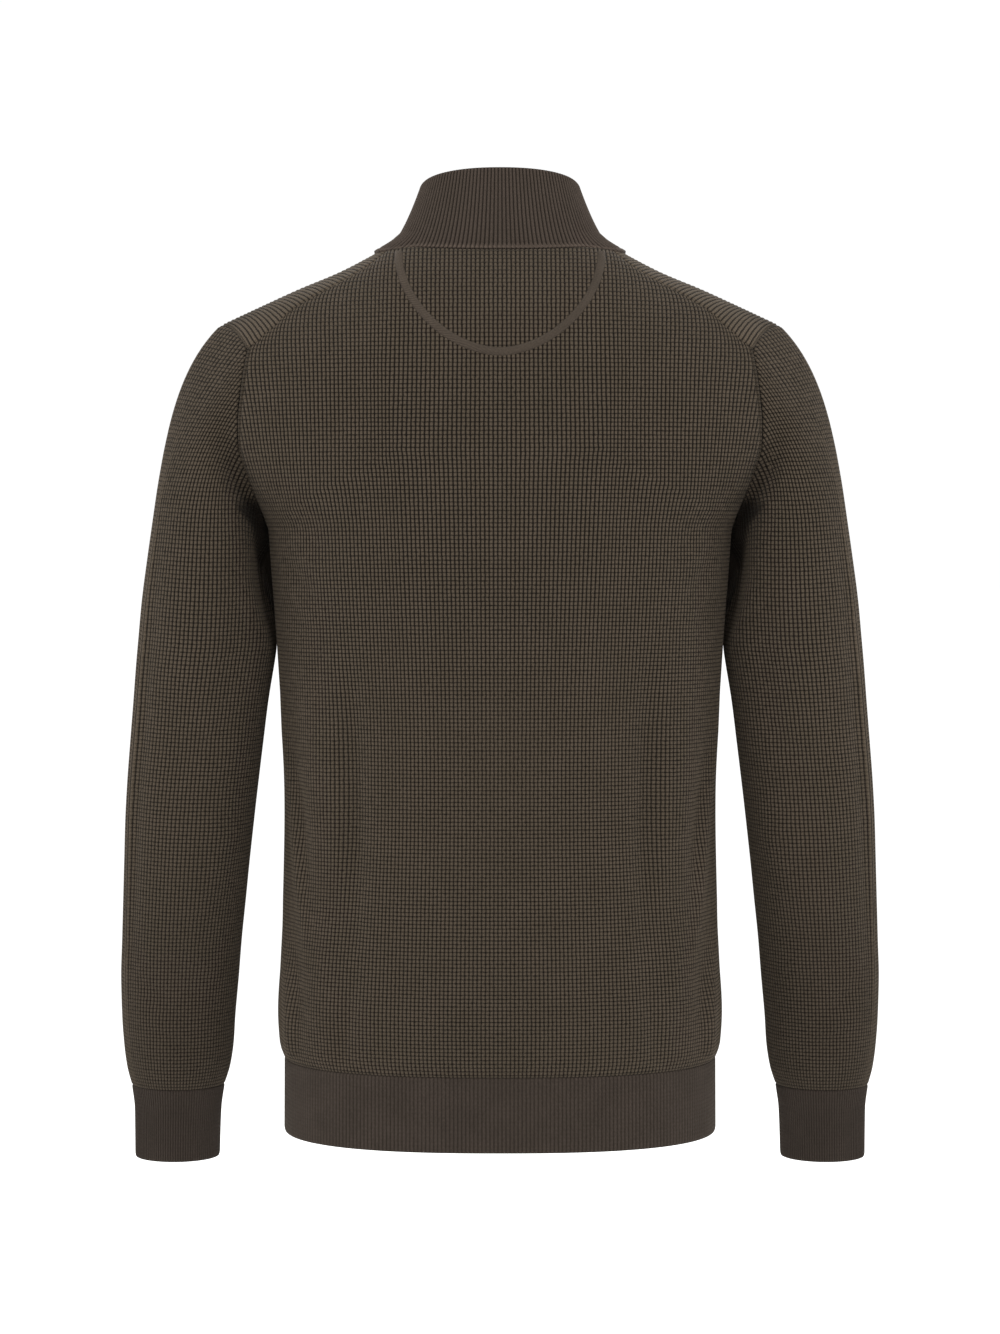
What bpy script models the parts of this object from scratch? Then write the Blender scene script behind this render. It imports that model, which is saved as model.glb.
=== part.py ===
"""A knitted zip-up cardigan with a stand collar, men's size M, in the shape it keeps when worn.

Metres, +Z up. The back faces +Y and the wearer's left is +X. The origin is at the height of
the neck seam, midway between the shoulders. Each piece is a wall of knit with an outer and an
inner face, and neighbours are a narrow gap apart along their seams.
"""

import math

import bmesh
import bpy
import numpy as np

COLLECTION = "zip_up_cardigan"

# Cloth and seams
WALL = 0.0024
RIB_RELIEF = 0.0008
SEAM_GAP = 0.00040
RIB_PITCH = 0.0030
CUFF_RIB_PITCH = 0.0024

# Main heights
HEM_BOTTOM = -0.6805
HEM_TOP = -0.6240
UNDERARM = -0.2165
SLEEVE_END = -0.6500
CUFF_BOTTOM = -0.7066
HEM_SPREAD = 0.0004

# Neck, shoulders and opening
FRONT_EDGE = 0.0055
NECK_HALF_WIDTH = 0.0855
NECK_SIDE_HEIGHT = 0.0010
NECK_SEAM_X = 0.0825
NECK_SEAM_HEIGHT = -0.0005
RIDGE_START_X = 0.0925
FRONT_NECK_HEIGHT = -0.0720
BACK_NECK_HEIGHT = -0.0050
TIP_X = 0.2155
TIP_HEIGHT = -0.0592
SEAM_END_X = 0.1920
SEAM_END_HEIGHT = -0.0796
NECK_CURVE = 2.2
TORSO_CURVE = 2.5
BACK_CLOSING = (0.100, 2.0)
FRONT_CLOSING = (0.280, 1.5)

# Collar's top edge
COLLAR_HALF_WIDTH = 0.0600
COLLAR_BACK_DEPTH = 0.0520
COLLAR_FRONT_DEPTH = 0.0600
COLLAR_SIDE_HEIGHT = 0.0465
COLLAR_BACK_SLOPE = 0.20
COLLAR_FRONT_DROP = 0.0445
COLLAR_FLARE = 0.66
COLLAR_ROWS = (0.0, 0.28, 0.64, 1.0)

# Half-moon band
MOON_HALF_WIDTH = 0.0742
MOON_TOP = -0.0080
MOON_DEPTH = 0.0752
MOON_CURVE = 1.85
MOON_BAND = 0.0062
MOON_THICKNESS = 0.0012
MOON_STEPS = 44
MOON_CLEARANCE = 0.00064

# Zip
TAPE_EDGE = 0.0012
TAPE_WIDTH = 0.0138
TAPE_THICKNESS = 0.0007
TAPE_INSET = 0.0015
TEETH_EDGE = 0.00017
TEETH_WIDTH = 0.0027
TEETH_THICKNESS = 0.0020
TEETH_CLEARANCE = 0.0010
STOP_CLEARANCE = 0.0008
STOP_LENGTH = 0.0020
STOP_OUTER_EDGE = 0.0030
BOX_HALF_WIDTH = 0.0042
BOX_START = 0.0012
BOX_LENGTH = 0.0089
BOX_CLEARANCE = 0.0004

# Slider and pull tab
SLIDER_HEIGHT = -0.0250
ZIP_RUN = 0.0040
SLIDER_WIDTH = 0.0084
SLIDER_LENGTH = 0.0110
PLATE = 0.0012
PLATE_CLEARANCE = 0.0003
BACK_CLEARANCE = 0.0006
POST_WIDTH = 0.0016
POST_LENGTH = 0.0040
BRIDGE_WIDTH = 0.0018
BRIDGE_LENGTH = 0.0070
BRIDGE_THICKNESS = 0.0008
BRIDGE_HOLLOW = 0.0020
BRIDGE_ROOT = 0.0003
TAB_WIDTH = 0.0064
TAB_LENGTH = 0.0250
TAB_THICKNESS = 0.0009
TAB_CORNER = 0.0014
TAB_BAR = 0.0010
TAB_HOLE_WIDTH = 0.0030
TAB_HOLE_LENGTH = 0.0056
TAB_HOLE_CORNER = 0.0004
TAB_SLOT_START = 0.0016
TAB_SLOT_END = 0.0100
FRONT_PLATE_OUT = PLATE_CLEARANCE + PLATE / 2
BACK_PLATE_OUT = -(WALL + TAPE_THICKNESS + BACK_CLEARANCE + PLATE / 2)
HINGE_OUT = FRONT_PLATE_OUT + PLATE / 2 + BRIDGE_HOLLOW / 2


def table(columns, *rows):
    """A table's columns by name."""
    return {name: np.array(values, float) for name, values in zip(columns.split(), zip(*rows))}


# Level sections of the body. Above the underarm the half width is that of the whole shoulder.
TORSO = table(
    "height half_width back_depth front_depth",
    (HEM_TOP, 0.1668, 0.117, 0.121),
    (-0.6125, 0.1706, 0.119, 0.124),
    (-0.5880, 0.1720, 0.119, 0.126),
    (-0.5500, 0.1703, 0.117, 0.124),
    (-0.5040, 0.1680, 0.113, 0.119),
    (-0.4420, 0.1668, 0.107, 0.113),
    (-0.3800, 0.1678, 0.105, 0.112),
    (-0.3180, 0.1712, 0.108, 0.116),
    (-0.2400, 0.1768, 0.113, 0.124),
    (UNDERARM, 0.1785, 0.114, 0.126),
    (-0.1990, 0.1900, 0.115, 0.127),
    (-0.1750, 0.2090, 0.115, 0.127),
    (-0.1540, 0.2195, 0.115, 0.127),
    (-0.1360, 0.2225, 0.115, 0.127),
    (-0.0600, 0.2230, 0.111, 0.125),
    (0.0300, 0.2230, 0.106, 0.122),
)

# Ridge of the shoulder, from the middle outwards
RIDGE = table(
    "across height",
    (0.0000, 0.0130),
    (0.0500, 0.0095),
    (0.0855, 0.0010),
    (0.0988, -0.0062),
    (0.1236, -0.0188),
    (0.1560, -0.0322),
    (0.1800, -0.0430),
    (0.1965, -0.0505),
    (0.2155, -0.0592),
    (0.2230, -0.0628),
)

# Shoulder seam, which lies behind the ridge
SHOULDER_SEAM = table(
    "across height",
    (0.0825, -0.0005),
    (0.1019, -0.0175),
    (0.1217, -0.0290),
    (0.1378, -0.0377),
    (0.1535, -0.0469),
    (0.1683, -0.0599),
    (0.1811, -0.0721),
    (0.1920, -0.0796),
)

# Armhole seam on the back and on the front
ARMHOLE = table(
    "height back front",
    (UNDERARM, 0.1785, 0.1785),
    (-0.1990, 0.1845, 0.1830),
    (-0.1750, 0.1927, 0.1885),
    (-0.1540, 0.1982, 0.1915),
    (-0.1360, 0.1982, 0.1925),
    (-0.1170, 0.1966, 0.1935),
    (-0.0995, 0.1946, 0.1965),
    (SEAM_END_HEIGHT, SEAM_END_X, 0.2050),
    (TIP_HEIGHT, SEAM_END_X, TIP_X),
)

# Sleeve sections below the cap, whose last row slopes down to the sleeve's inner side
CAP_END_OUTER = -0.1960
CAP_END_INNER = -0.2480
SLEEVE = table(
    "height outer inner half_depth middle",
    (CAP_END_OUTER, 0.2655, 0.1830, 0.0625, 0.005),
    (-0.2450, 0.2728, 0.1805, 0.0620, 0.004),
    (-0.2710, 0.2763, 0.1768, 0.0615, 0.004),
    (-0.3020, 0.2794, 0.1745, 0.0600, 0.003),
    (-0.3180, 0.2809, 0.1758, 0.0590, 0.003),
    (-0.3490, 0.2835, 0.1802, 0.0570, 0.002),
    (-0.3800, 0.2862, 0.1842, 0.0550, 0.001),
    (-0.4110, 0.2888, 0.1881, 0.0530, 0.000),
    (-0.4420, 0.2908, 0.1919, 0.0510, -0.002),
    (-0.4730, 0.2920, 0.1955, 0.0495, -0.004),
    (-0.5040, 0.2932, 0.1988, 0.0480, -0.006),
    (-0.5350, 0.2944, 0.2022, 0.0465, -0.008),
    (-0.5660, 0.2956, 0.2049, 0.0450, -0.010),
    (-0.5970, 0.2950, 0.2078, 0.0435, -0.011),
    (-0.6180, 0.2937, 0.2092, 0.0420, -0.012),
    (-0.6360, 0.2914, 0.2120, 0.0390, -0.012),
    (SLEEVE_END, 0.2878, 0.2164, 0.0345, -0.012),
)
CUFF = table(
    "height outer inner half_depth middle",
    (CUFF_BOTTOM, 0.2855, 0.2206, 0.0315, -0.013),
    (-0.6700, 0.2857, 0.2192, 0.0325, -0.013),
    (SLEEVE_END, 0.2878, 0.2164, 0.0345, -0.012),
)

# Largest folds: each runs from one end to the other on its piece, and its height is out of
# the cloth. Both halves of the garment have them.
BACK_FOLDS = table(
    "start_x start_z end_x end_z width height",
    (0.112, -0.300, 0.112, -0.580, 0.020, -0.0045),
    (0.138, -0.290, 0.136, -0.500, 0.017, 0.0040),
    (0.160, -0.370, 0.147, -0.500, 0.009, -0.0030),
    (0.163, -0.500, 0.153, -0.600, 0.010, -0.0030),
)
FRONT_FOLDS = table(
    "start_x start_z end_x end_z width height",
    (0.105, -0.270, 0.110, -0.560, 0.022, -0.0045),
    (0.135, -0.300, 0.132, -0.520, 0.018, 0.0040),
    (0.157, -0.400, 0.146, -0.540, 0.010, -0.0030),
    (0.060, -0.400, 0.066, -0.600, 0.020, -0.0030),
)
# A fold on a sleeve is placed by its turn, in degrees from the outer side by way of the back.
SLEEVE_FOLDS = table(
    "start_turn start_z end_turn end_z width height",
    (128, -0.200, 118, -0.400, 22, -0.0040),
    (60, -0.330, 105, -0.450, 26, -0.0030),
    (150, -0.420, 95, -0.520, 24, 0.0030),
    (235, -0.210, 245, -0.420, 24, -0.0040),
    (300, -0.360, 255, -0.480, 26, -0.0030),
    (60, -0.545, 120, -0.580, 30, -0.0025),
    (300, -0.560, 240, -0.595, 30, -0.0025),
)
METRES_PER_DEGREE = 0.0009
FOLD_FADE = 1.2

# Where the grids of the pieces have their columns, as shares of an edge
FRONT_NECK_SHARES = (0.0, 0.22, 0.42, 0.60, 0.74, 0.85, 1.0)
BACK_NECK_SHARES = np.array((0.0, 0.22, 0.44, 0.64, 0.83, 1.0))
SHOULDER_SHARES = np.array((0.0, 0.22, 0.43, 0.62, 0.78, 0.89, 0.96, 1.0))
OVER_SHARES = (1 / 3, 2 / 3, 1.0)
CAP_SHARES = (0.0, 0.08, 0.2, 0.34, 0.5, 0.68, 0.85, 1.0)
SLEEVE_SHARES = (0.04, 0.11, 0.18, 0.26, 0.34, 0.43, 0.52, 0.61, 0.70, 0.78, 0.85, 0.91, 0.96, 1.0)
BACK_NECK_XS = NECK_SEAM_X * BACK_NECK_SHARES
SHOULDER_XS = NECK_SEAM_X + (SEAM_END_X - NECK_SEAM_X) * SHOULDER_SHARES
NECK_COUNT = len(FRONT_NECK_SHARES)
BACK_COUNT = len(BACK_NECK_SHARES)

# Heights of their rows
SIDE_HEIGHTS = np.array(
    (HEM_TOP, -0.606, -0.585, -0.555, -0.515, -0.470, -0.425, -0.380, -0.335, -0.290, -0.250, UNDERARM)
)
BACK_ARM_HEIGHTS = np.array((-0.208, -0.197, -0.182, -0.164, -0.143, -0.121, -0.100, SEAM_END_HEIGHT))
FRONT_ARM_HEIGHTS = np.array((-0.208, -0.196, -0.178, -0.157, -0.134, -0.110, -0.088, TIP_HEIGHT))
SIDE_COUNT = len(SIDE_HEIGHTS)

# Shape of a front's columns, which turn in to the ridge above this height
COLUMN_STEPS = 240
OVER_STEPS = 24
COLUMN_SPACING = 1.8
TURN_IN_START = -0.24
RIDGE_SHARE = 0.85

# Armhole and sleeve cap
ARMHOLE_MIDDLE = np.array((0.0, 0.007, -0.137))
LONGEST_MITRE = 0.72
CAP_LEAVING = table(
    "place across upwards",
    (0, 1.30, -0.25),
    (1, 0.72, -0.68),
)
CAP_SIDE_LEAVING = (0.62, 0, -0.75)


def value(columns, name, at, key="height"):
    """Smooth value of a table's column, which never overshoots its rows."""
    keys, values = columns[key], columns[name]
    order = np.argsort(keys)
    keys, values = keys[order], values[order]
    step = np.diff(keys)
    slope = np.diff(values) / step
    tangent = np.zeros(len(keys))
    product = slope[:-1] * slope[1:]
    total = np.where(product > 0, slope[:-1] + slope[1:], 1.0)
    tangent[1:-1] = np.where(product > 0, 2 * product / total, 0.0)
    tangent[0], tangent[-1] = slope[0], slope[-1]
    i = np.clip(np.searchsorted(keys, at) - 1, 0, len(step) - 1)
    t = np.clip((at - keys[i]) / step[i], 0, 1)
    rise = values[i + 1] - values[i]
    a = step[i] * tangent[i] - rise
    b = rise - step[i] * tangent[i + 1]
    return values[i] + t * rise + t * (1 - t) * (a * (1 - t) + b * t)


def unit(vectors):
    return vectors / np.maximum(np.linalg.norm(vectors, axis=-1, keepdims=True), 1e-12)


def mixed(first, last, share):
    return first + (last - first) * share


def resampled(path, shares):
    """Points at these shares of a path's length."""
    length = np.concatenate([[0], np.cumsum(np.linalg.norm(np.diff(path, axis=0), axis=1))])
    at = np.asarray(shares) * length[-1]
    return np.stack([np.interp(at, length, path[:, axis]) for axis in range(3)], axis=1)


def length_shares(path):
    length = np.concatenate([[0], np.cumsum(np.linalg.norm(np.diff(path, axis=0), axis=1))])
    return length / length[-1]


# The body's surface


def depth(x, z, side):
    """How far the plain surface lies from the middle plane, towards the back or the front."""
    closing, power = BACK_CLOSING if side == "back" else FRONT_CLOSING
    full = value(TORSO, side + "_depth", z)
    reach = np.clip(np.abs(x) / value(TORSO, "half_width", z), 0, 1)
    fall = np.clip((value(RIDGE, "height", np.abs(x), "across") - z) / closing, 0, 1)
    closed = (1 - (1 - fall) ** power) ** (1 / power)
    return full * (1 - reach**TORSO_CURVE) ** (1 / TORSO_CURVE) * closed


def body_point(x, z, side):
    sign = 1 if side == "back" else -1
    x, z = np.broadcast_arrays(np.asarray(x, float), np.asarray(z, float))
    return np.stack([x, sign * depth(x, z, side), z], axis=-1)


def body_normal(x, z, side, step=2e-5):
    sign = 1 if side == "back" else -1
    x, z = np.broadcast_arrays(np.asarray(x, float), np.asarray(z, float))
    across = (depth(x + step, z, side) - depth(x - step, z, side)) / (2 * step)
    upwards = (depth(x, z + step, side) - depth(x, z - step, side)) / (2 * step)
    return unit(np.stack([-across, np.full(x.shape, float(sign)), -upwards], axis=-1))


def fold_height(across, z, folds):
    """Height of a table's folds at a place: each is round across and fades out at its ends."""
    total = np.zeros(np.shape(across))
    for start, start_z, end, end_z, width, height in zip(*folds.values()):
        run = np.array((end - start, end_z - start_z))
        along = ((across - start) * run[0] + (z - start_z) * run[1]) / (run @ run)
        off = ((across - start) * run[1] - (z - start_z) * run[0]) / math.hypot(*run)
        fade = np.sin(np.clip(1 - np.abs(along - 0.5) * 2, 0, 1) * math.pi / 2) ** FOLD_FADE
        total = total + height * fade * np.exp(-((off / width) ** 2))
    return total


def body_folds(x, z, side):
    return fold_height(np.abs(x), z, BACK_FOLDS if side == "back" else FRONT_FOLDS)


def sleeve_folds(turn, z):
    folds = dict(SLEEVE_FOLDS)
    for name in ("start_turn", "end_turn", "width"):
        folds[name] = folds[name] * METRES_PER_DEGREE
    return fold_height(turn * METRES_PER_DEGREE, z, folds)


# Edges that two pieces share


def ridge_height(x):
    return value(RIDGE, "height", x, "across")


def front_neck(share):
    """Neck edge of a front: from the zip to the ridge, and on to the seam behind it."""
    if share <= RIDGE_SHARE:
        turn = share / RIDGE_SHARE * math.pi / 2
        x = NECK_HALF_WIDTH * math.sin(turn) ** (2 / NECK_CURVE)
        drop = NECK_SIDE_HEIGHT - FRONT_NECK_HEIGHT
        z = NECK_SIDE_HEIGHT - drop * math.cos(turn) ** (2 / NECK_CURVE)
        return max(x, FRONT_EDGE), z, "front"
    past = (share - RIDGE_SHARE) / (1 - RIDGE_SHARE)
    x = mixed(NECK_HALF_WIDTH, NECK_SEAM_X, past)
    return x, mixed(NECK_SIDE_HEIGHT, NECK_SEAM_HEIGHT, past**2), "back"


def back_neck_height(x):
    return mixed(BACK_NECK_HEIGHT, NECK_SEAM_HEIGHT, (np.abs(x) / NECK_SEAM_X) ** 2)


def over_the_ridge(ridge_x, seam_x, shares):
    """From the ridge down to the shoulder seam behind it."""
    shares = np.asarray(shares)
    x = mixed(ridge_x, seam_x, shares)
    seam = value(SHOULDER_SEAM, "height", seam_x, "across")
    return x, mixed(ridge_height(ridge_x), seam, shares**2)


def mitred(own, other):
    """Normal halfway between two cloths that meet, long enough to keep the wall's thickness."""
    middle = unit(own + other)
    return middle / np.maximum(np.sum(middle * own, axis=-1, keepdims=True), LONGEST_MITRE)


def armhole_normals(points, normals):
    """Mitre between the body and the sleeve, whose first run leaves the armhole sideways."""
    outwards = (points - ARMHOLE_MIDDLE) * np.array((0, 1, 1))
    return mitred(normals, unit(outwards))


# Meshes


def inwards(edge, beside, closed):
    """Way into a piece from its edge, square to the edge."""
    if closed:
        along = unit(np.roll(edge, -1, axis=0) - np.roll(edge, 1, axis=0))
    else:
        along = unit(np.gradient(edge, axis=0))
    run = beside - edge
    return unit(run - along * np.sum(run * along, axis=-1, keepdims=True))


def drawn_back(grid, closed):
    """A face's points, with its edges drawn back from the seams by half a gap."""
    grid = grid.copy()
    half = SEAM_GAP / 2
    first = grid[0] + inwards(grid[0], grid[1], closed) * half
    last = grid[-1] + inwards(grid[-1], grid[-2], closed) * half
    grid[0], grid[-1] = first, last
    if not closed:
        first = grid[:, 0] + inwards(grid[:, 0], grid[:, 1], False) * half
        last = grid[:, -1] + inwards(grid[:, -1], grid[:, -2], False) * half
        grid[:, 0], grid[:, -1] = first, last
    return grid


def material(name, colour, roughness, metallic=0.0):
    made = bpy.data.materials.new(name)
    made.use_nodes = True
    shader = made.node_tree.nodes["Principled BSDF"]
    shader.inputs["Base Color"].default_value = (*colour, 1.0)
    shader.inputs["Roughness"].default_value = roughness
    shader.inputs["Metallic"].default_value = metallic
    return made


def add_mesh(name, points, faces, finish):
    """A closed body from its points and faces, with every face turned outwards."""
    mesh = bpy.data.meshes.new(name)
    mesh.from_pydata([tuple(p) for p in points], [], faces)
    work = bmesh.new()
    work.from_mesh(mesh)
    bmesh.ops.recalc_face_normals(work, faces=work.faces[:])
    bmesh.ops.triangulate(work, faces=work.faces[:])
    if work.calc_volume(signed=True) < 0:
        bmesh.ops.reverse_faces(work, faces=work.faces[:])
    work.to_mesh(mesh)
    work.free()
    mesh.materials.append(finish)
    made = bpy.data.objects.new(name, mesh)
    bpy.data.collections[COLLECTION].objects.link(made)
    return made


def mirrored(points):
    return points * np.array((-1, 1, 1))


def strip(upper, lower, upper_at, lower_at):
    """Triangles between two rows of point numbers, each with its places from 0 to 1 along them."""
    faces = []
    i = j = 0
    while i < len(upper) - 1 or j < len(lower) - 1:
        upper_next = upper_at[i + 1] if i < len(upper) - 1 else math.inf
        lower_next = lower_at[j + 1] if j < len(lower) - 1 else math.inf
        if upper_next <= lower_next:
            faces.append((upper[i], upper[i + 1], lower[j]))
            i += 1
        else:
            faces.append((upper[i], lower[j + 1], lower[j]))
            j += 1
    return faces


def sheet_faces(rows, columns, closed, first=0):
    """Quads of a grid of points, numbered by row, that may close on itself."""
    faces = []
    for row in range(rows - 1):
        for column in range(columns if closed else columns - 1):
            after = (column + 1) % columns
            low, high = first + row * columns, first + (row + 1) * columns
            faces.append((low + column, low + after, high + after, high + column))
    return faces


def wall(name, outer, inner, finish, closed=False, outer_at=None, inner_at=None):
    """A wall between an outer and an inner face, which may have their own columns.

    The places of the columns along a row, from 0 to 1, pair the two faces at their edges.
    """
    points = np.concatenate([outer.reshape(-1, 3), inner.reshape(-1, 3)])
    base = outer.shape[0] * outer.shape[1]
    faces = sheet_faces(*outer.shape[:2], closed) + sheet_faces(*inner.shape[:2], closed, base)
    outer_ids = np.arange(base).reshape(outer.shape[:2])
    inner_ids = base + np.arange(inner.shape[0] * inner.shape[1]).reshape(inner.shape[:2])
    for row in (0, -1):
        ring, liner = list(outer_ids[row]), list(inner_ids[row])
        if closed:
            ring, liner = ring + ring[:1], liner + liner[:1]
        ring_at = np.linspace(0, 1, len(ring)) if outer_at is None else outer_at
        liner_at = np.linspace(0, 1, len(liner)) if inner_at is None else inner_at
        faces += strip(ring, liner, ring_at, liner_at)
    if not closed:
        even = np.linspace(0, 1, len(outer))
        for column in (0, -1):
            faces += strip(list(outer_ids[:, column]), list(inner_ids[:, column]), even, even)
    return add_mesh(name, points, [tuple(int(n) for n in face) for face in faces], finish)


def panel(name, outer, normals, finish, closed=False):
    inner = outer - normals * WALL
    return wall(name, drawn_back(outer, closed), drawn_back(inner, closed), finish, closed)


def smooth_columns(row, places):
    """Points along a row at places counted in columns, on a smooth curve through them."""
    count = len(row)
    i = np.clip(np.floor(places).astype(int), 0, count - 2)
    t = (places - i)[:, None]
    before, first = row[np.maximum(i - 1, 0)], row[i]
    last, after = row[i + 1], row[np.minimum(i + 2, count - 1)]
    bend = (last - before) * t + (2 * before - 5 * first + 4 * last - after) * t**2
    return first + 0.5 * (bend + (3 * first - before - 3 * last + after) * t**3)


def straight_columns(row, places):
    i = np.clip(np.floor(places).astype(int), 0, len(row) - 2)
    return mixed(row[i], row[i + 1], (places - i)[:, None])


def ribbed_wall(name, outer, normals, seam_row, pitch, finish, closed=False):
    """A wall whose outer face has raised ribs over a plain inside.

    Its seam row follows its neighbour's straight edges, and its other rows are smooth.
    """
    inner = outer - normals * WALL
    if closed:
        outer = np.concatenate([outer, outer[:, :1]], axis=1)
        normals = np.concatenate([normals, normals[:, :1]], axis=1)
    widest = max(outer, key=length_of)
    shares = length_shares(widest)
    ribs = round(length_of(widest) / pitch)
    fine = np.linspace(0, 1, 2 * ribs + 1)
    places = np.interp(fine, shares, np.arange(len(shares)))
    raised = (np.arange(len(fine)) % 2) * RIB_RELIEF
    seam_places = places.copy()
    seam_places[np.round(shares * (len(fine) - 1)).astype(int)] = np.arange(len(shares))
    rows = []
    for number, (row, facing) in enumerate(zip(outer, normals)):
        if number == seam_row:
            base, facing = straight_columns(row, seam_places), straight_columns(facing, seam_places)
        else:
            base, facing = smooth_columns(row, places), straight_columns(facing, places)
        rows.append(base + facing * raised[:, None])
    rows = np.array(rows)
    if closed:
        rows = rows[:, :-1]
    outer_face, inner_face = drawn_back(rows, closed), drawn_back(inner, closed)
    return wall(name, outer_face, inner_face, finish, closed, fine, shares)


def length_of(row):
    return float(np.sum(np.linalg.norm(np.diff(row, axis=0), axis=1)))


# Body panels


def back_grid():
    """Left half of the back, from its middle to the side, in rows from the hem up."""
    top_xs = np.concatenate([BACK_NECK_XS, SHOULDER_XS[1:]])
    tops = np.concatenate([
        back_neck_height(BACK_NECK_XS),
        value(SHOULDER_SEAM, "height", SHOULDER_XS[1:], "across"),
    ])
    heights = np.concatenate([SIDE_HEIGHTS, BACK_ARM_HEIGHTS])
    armhole = heights > UNDERARM
    edge = np.where(armhole, value(ARMHOLE, "back", heights), value(TORSO, "half_width", heights))
    share = top_xs / SEAM_END_X
    rise = (tops - HEM_TOP) / (SEAM_END_HEIGHT - HEM_TOP)
    x = edge[:, None] * share[None, :]
    z = HEM_TOP + (heights - HEM_TOP)[:, None] * rise[None, :]
    z[-1] = tops
    points, normals = body_point(x, z, "back"), body_normal(x, z, "back")
    folds = body_folds(x, z, "back")
    folds[0] = folds[-1] = folds[:, -1] = 0
    points = points + normals * folds[..., None]
    normals[armhole, -1] = armhole_normals(points[armhole, -1], normals[armhole, -1])
    normals[SIDE_COUNT - 1, -1] = underarm_normal()
    return points, normals


def underarm_normal():
    return mitred(np.array((1.0, 0, 0)), np.array((0, 0, -1.0)))


def neck_column_top(share):
    """Where a front's column that ends at the neck turns in to, its end and its lower share."""
    end_x, end_z, side = front_neck(share)
    low_share = share * (NECK_SEAM_X - FRONT_EDGE) / (SEAM_END_X - FRONT_EDGE)
    if side == "front":
        return end_x, end_z, low_share, None
    shares = np.linspace(0, 1, OVER_STEPS)[1:]
    crest = ridge_height(RIDGE_START_X)
    over = mixed(RIDGE_START_X, end_x, shares), mixed(crest, end_z, shares**2)
    return RIDGE_START_X, crest, low_share, over


def shoulder_column_top(share, seam_x):
    """The same for a column that crosses the ridge and ends at the shoulder seam."""
    ridge_x = mixed(RIDGE_START_X, TIP_X, share)
    low_share = (seam_x - FRONT_EDGE) / (SEAM_END_X - FRONT_EDGE)
    over = over_the_ridge(ridge_x, seam_x, np.linspace(0, 1, OVER_STEPS)[1:])
    return ridge_x, ridge_height(ridge_x), low_share, over


def front_column(top_x, top_z, low_share, over):
    """Path of one column of a front with its normals and folds, over the ridge if it goes on."""
    z = mixed(HEM_TOP, top_z, 1 - (1 - np.linspace(0, 1, COLUMN_STEPS)) ** COLUMN_SPACING)
    edge_z = np.minimum(z, TIP_HEIGHT)
    low = value(TORSO, "half_width", edge_z)
    edge = np.where(edge_z > UNDERARM, value(ARMHOLE, "front", edge_z), low)
    x = FRONT_EDGE + (edge - FRONT_EDGE) * low_share
    turn_in = np.clip((z - TURN_IN_START) / (top_z - TURN_IN_START), 0, 1)
    x = x + (top_x - x[-1]) * turn_in**2 * (3 - 2 * turn_in)
    points, normals = body_point(x, z, "front"), body_normal(x, z, "front")
    folds = body_folds(x, z, "front")
    if over:
        normals[-1] = unit(body_normal(x[-1], z[-1] - 1e-4, "front") * (1, 0, 1))
        points = np.concatenate([points, body_point(*over, "back")])
        normals = np.concatenate([normals, body_normal(*over, "back")])
        folds = np.concatenate([folds, np.zeros(len(over[0]))])
    return points, normals, folds


def front_grid():
    """Left front, from the zip to the side, in rows from the hem over the shoulder."""
    heights = np.concatenate([SIDE_HEIGHTS, FRONT_ARM_HEIGHTS])
    armhole = heights > UNDERARM
    x = np.where(armhole, value(ARMHOLE, "front", heights), value(TORSO, "half_width", heights))
    over_x, over_z = over_the_ridge(TIP_X, SEAM_END_X, OVER_SHARES)
    outermost = np.concatenate([body_point(x, heights, "front"), body_point(over_x, over_z, "back")])
    outer_normals = np.concatenate(
        [body_normal(x, heights, "front"), body_normal(over_x, over_z, "back")]
    )
    tip = len(heights) - 1
    outer_normals[tip] = unit(body_normal(TIP_X - 1e-3, TIP_HEIGHT - 2e-3, "front") * (1, 0, 1))
    outer_normals[SIDE_COUNT:] = armhole_normals(outermost[SIDE_COUNT:], outer_normals[SIDE_COUNT:])
    outer_normals[SIDE_COUNT - 1] = underarm_normal()
    shares = length_shares(outermost)
    tops = [neck_column_top(share) for share in FRONT_NECK_SHARES]
    tops += [shoulder_column_top(s, x) for s, x in zip(SHOULDER_SHARES[1:-1], SHOULDER_XS[1:-1])]
    columns, facings = [], []
    for top in tops:
        path, normals, folds = front_column(*top)
        lift = np.interp(shares, length_shares(path), folds)
        lift[0] = lift[-1] = 0
        facing = unit(resampled_with(path, normals, shares))
        columns.append(resampled(path, shares) + facing * lift[:, None])
        facings.append(facing)
    points = np.stack(columns + [outermost], axis=1)
    normals = np.stack(facings + [outer_normals], axis=1)
    normals[:, 0] = unit(normals[:, 0] * (0, 1, 1))
    return points, normals


def resampled_with(path, values, shares):
    at = length_shares(path)
    return np.stack([np.interp(shares, at, values[:, axis]) for axis in range(3)], axis=1)


# Collar


def collar_top(shares):
    """Top edge of the collar's left half, from the zip round to the middle of the back."""
    turn = np.linspace(0, math.pi, 400)
    power = 2 / NECK_CURVE
    x = COLLAR_HALF_WIDTH * np.sin(turn) ** power
    deep = np.where(turn < math.pi / 2, -COLLAR_FRONT_DEPTH, COLLAR_BACK_DEPTH)
    y = deep * np.abs(np.cos(turn)) ** power
    z = COLLAR_SIDE_HEIGHT + COLLAR_BACK_SLOPE * y
    z = z - np.where(y < 0, COLLAR_FRONT_DROP * (y / COLLAR_FRONT_DEPTH) ** 2, 0)
    path = np.stack([x, y, z], axis=1)
    path = path[(x >= FRONT_EDGE) | (turn > math.pi / 2)]
    path = np.concatenate([[[FRONT_EDGE, *path[0, 1:]]], path])
    path[-1, 0] = 0
    return resampled(path, shares)


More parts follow.
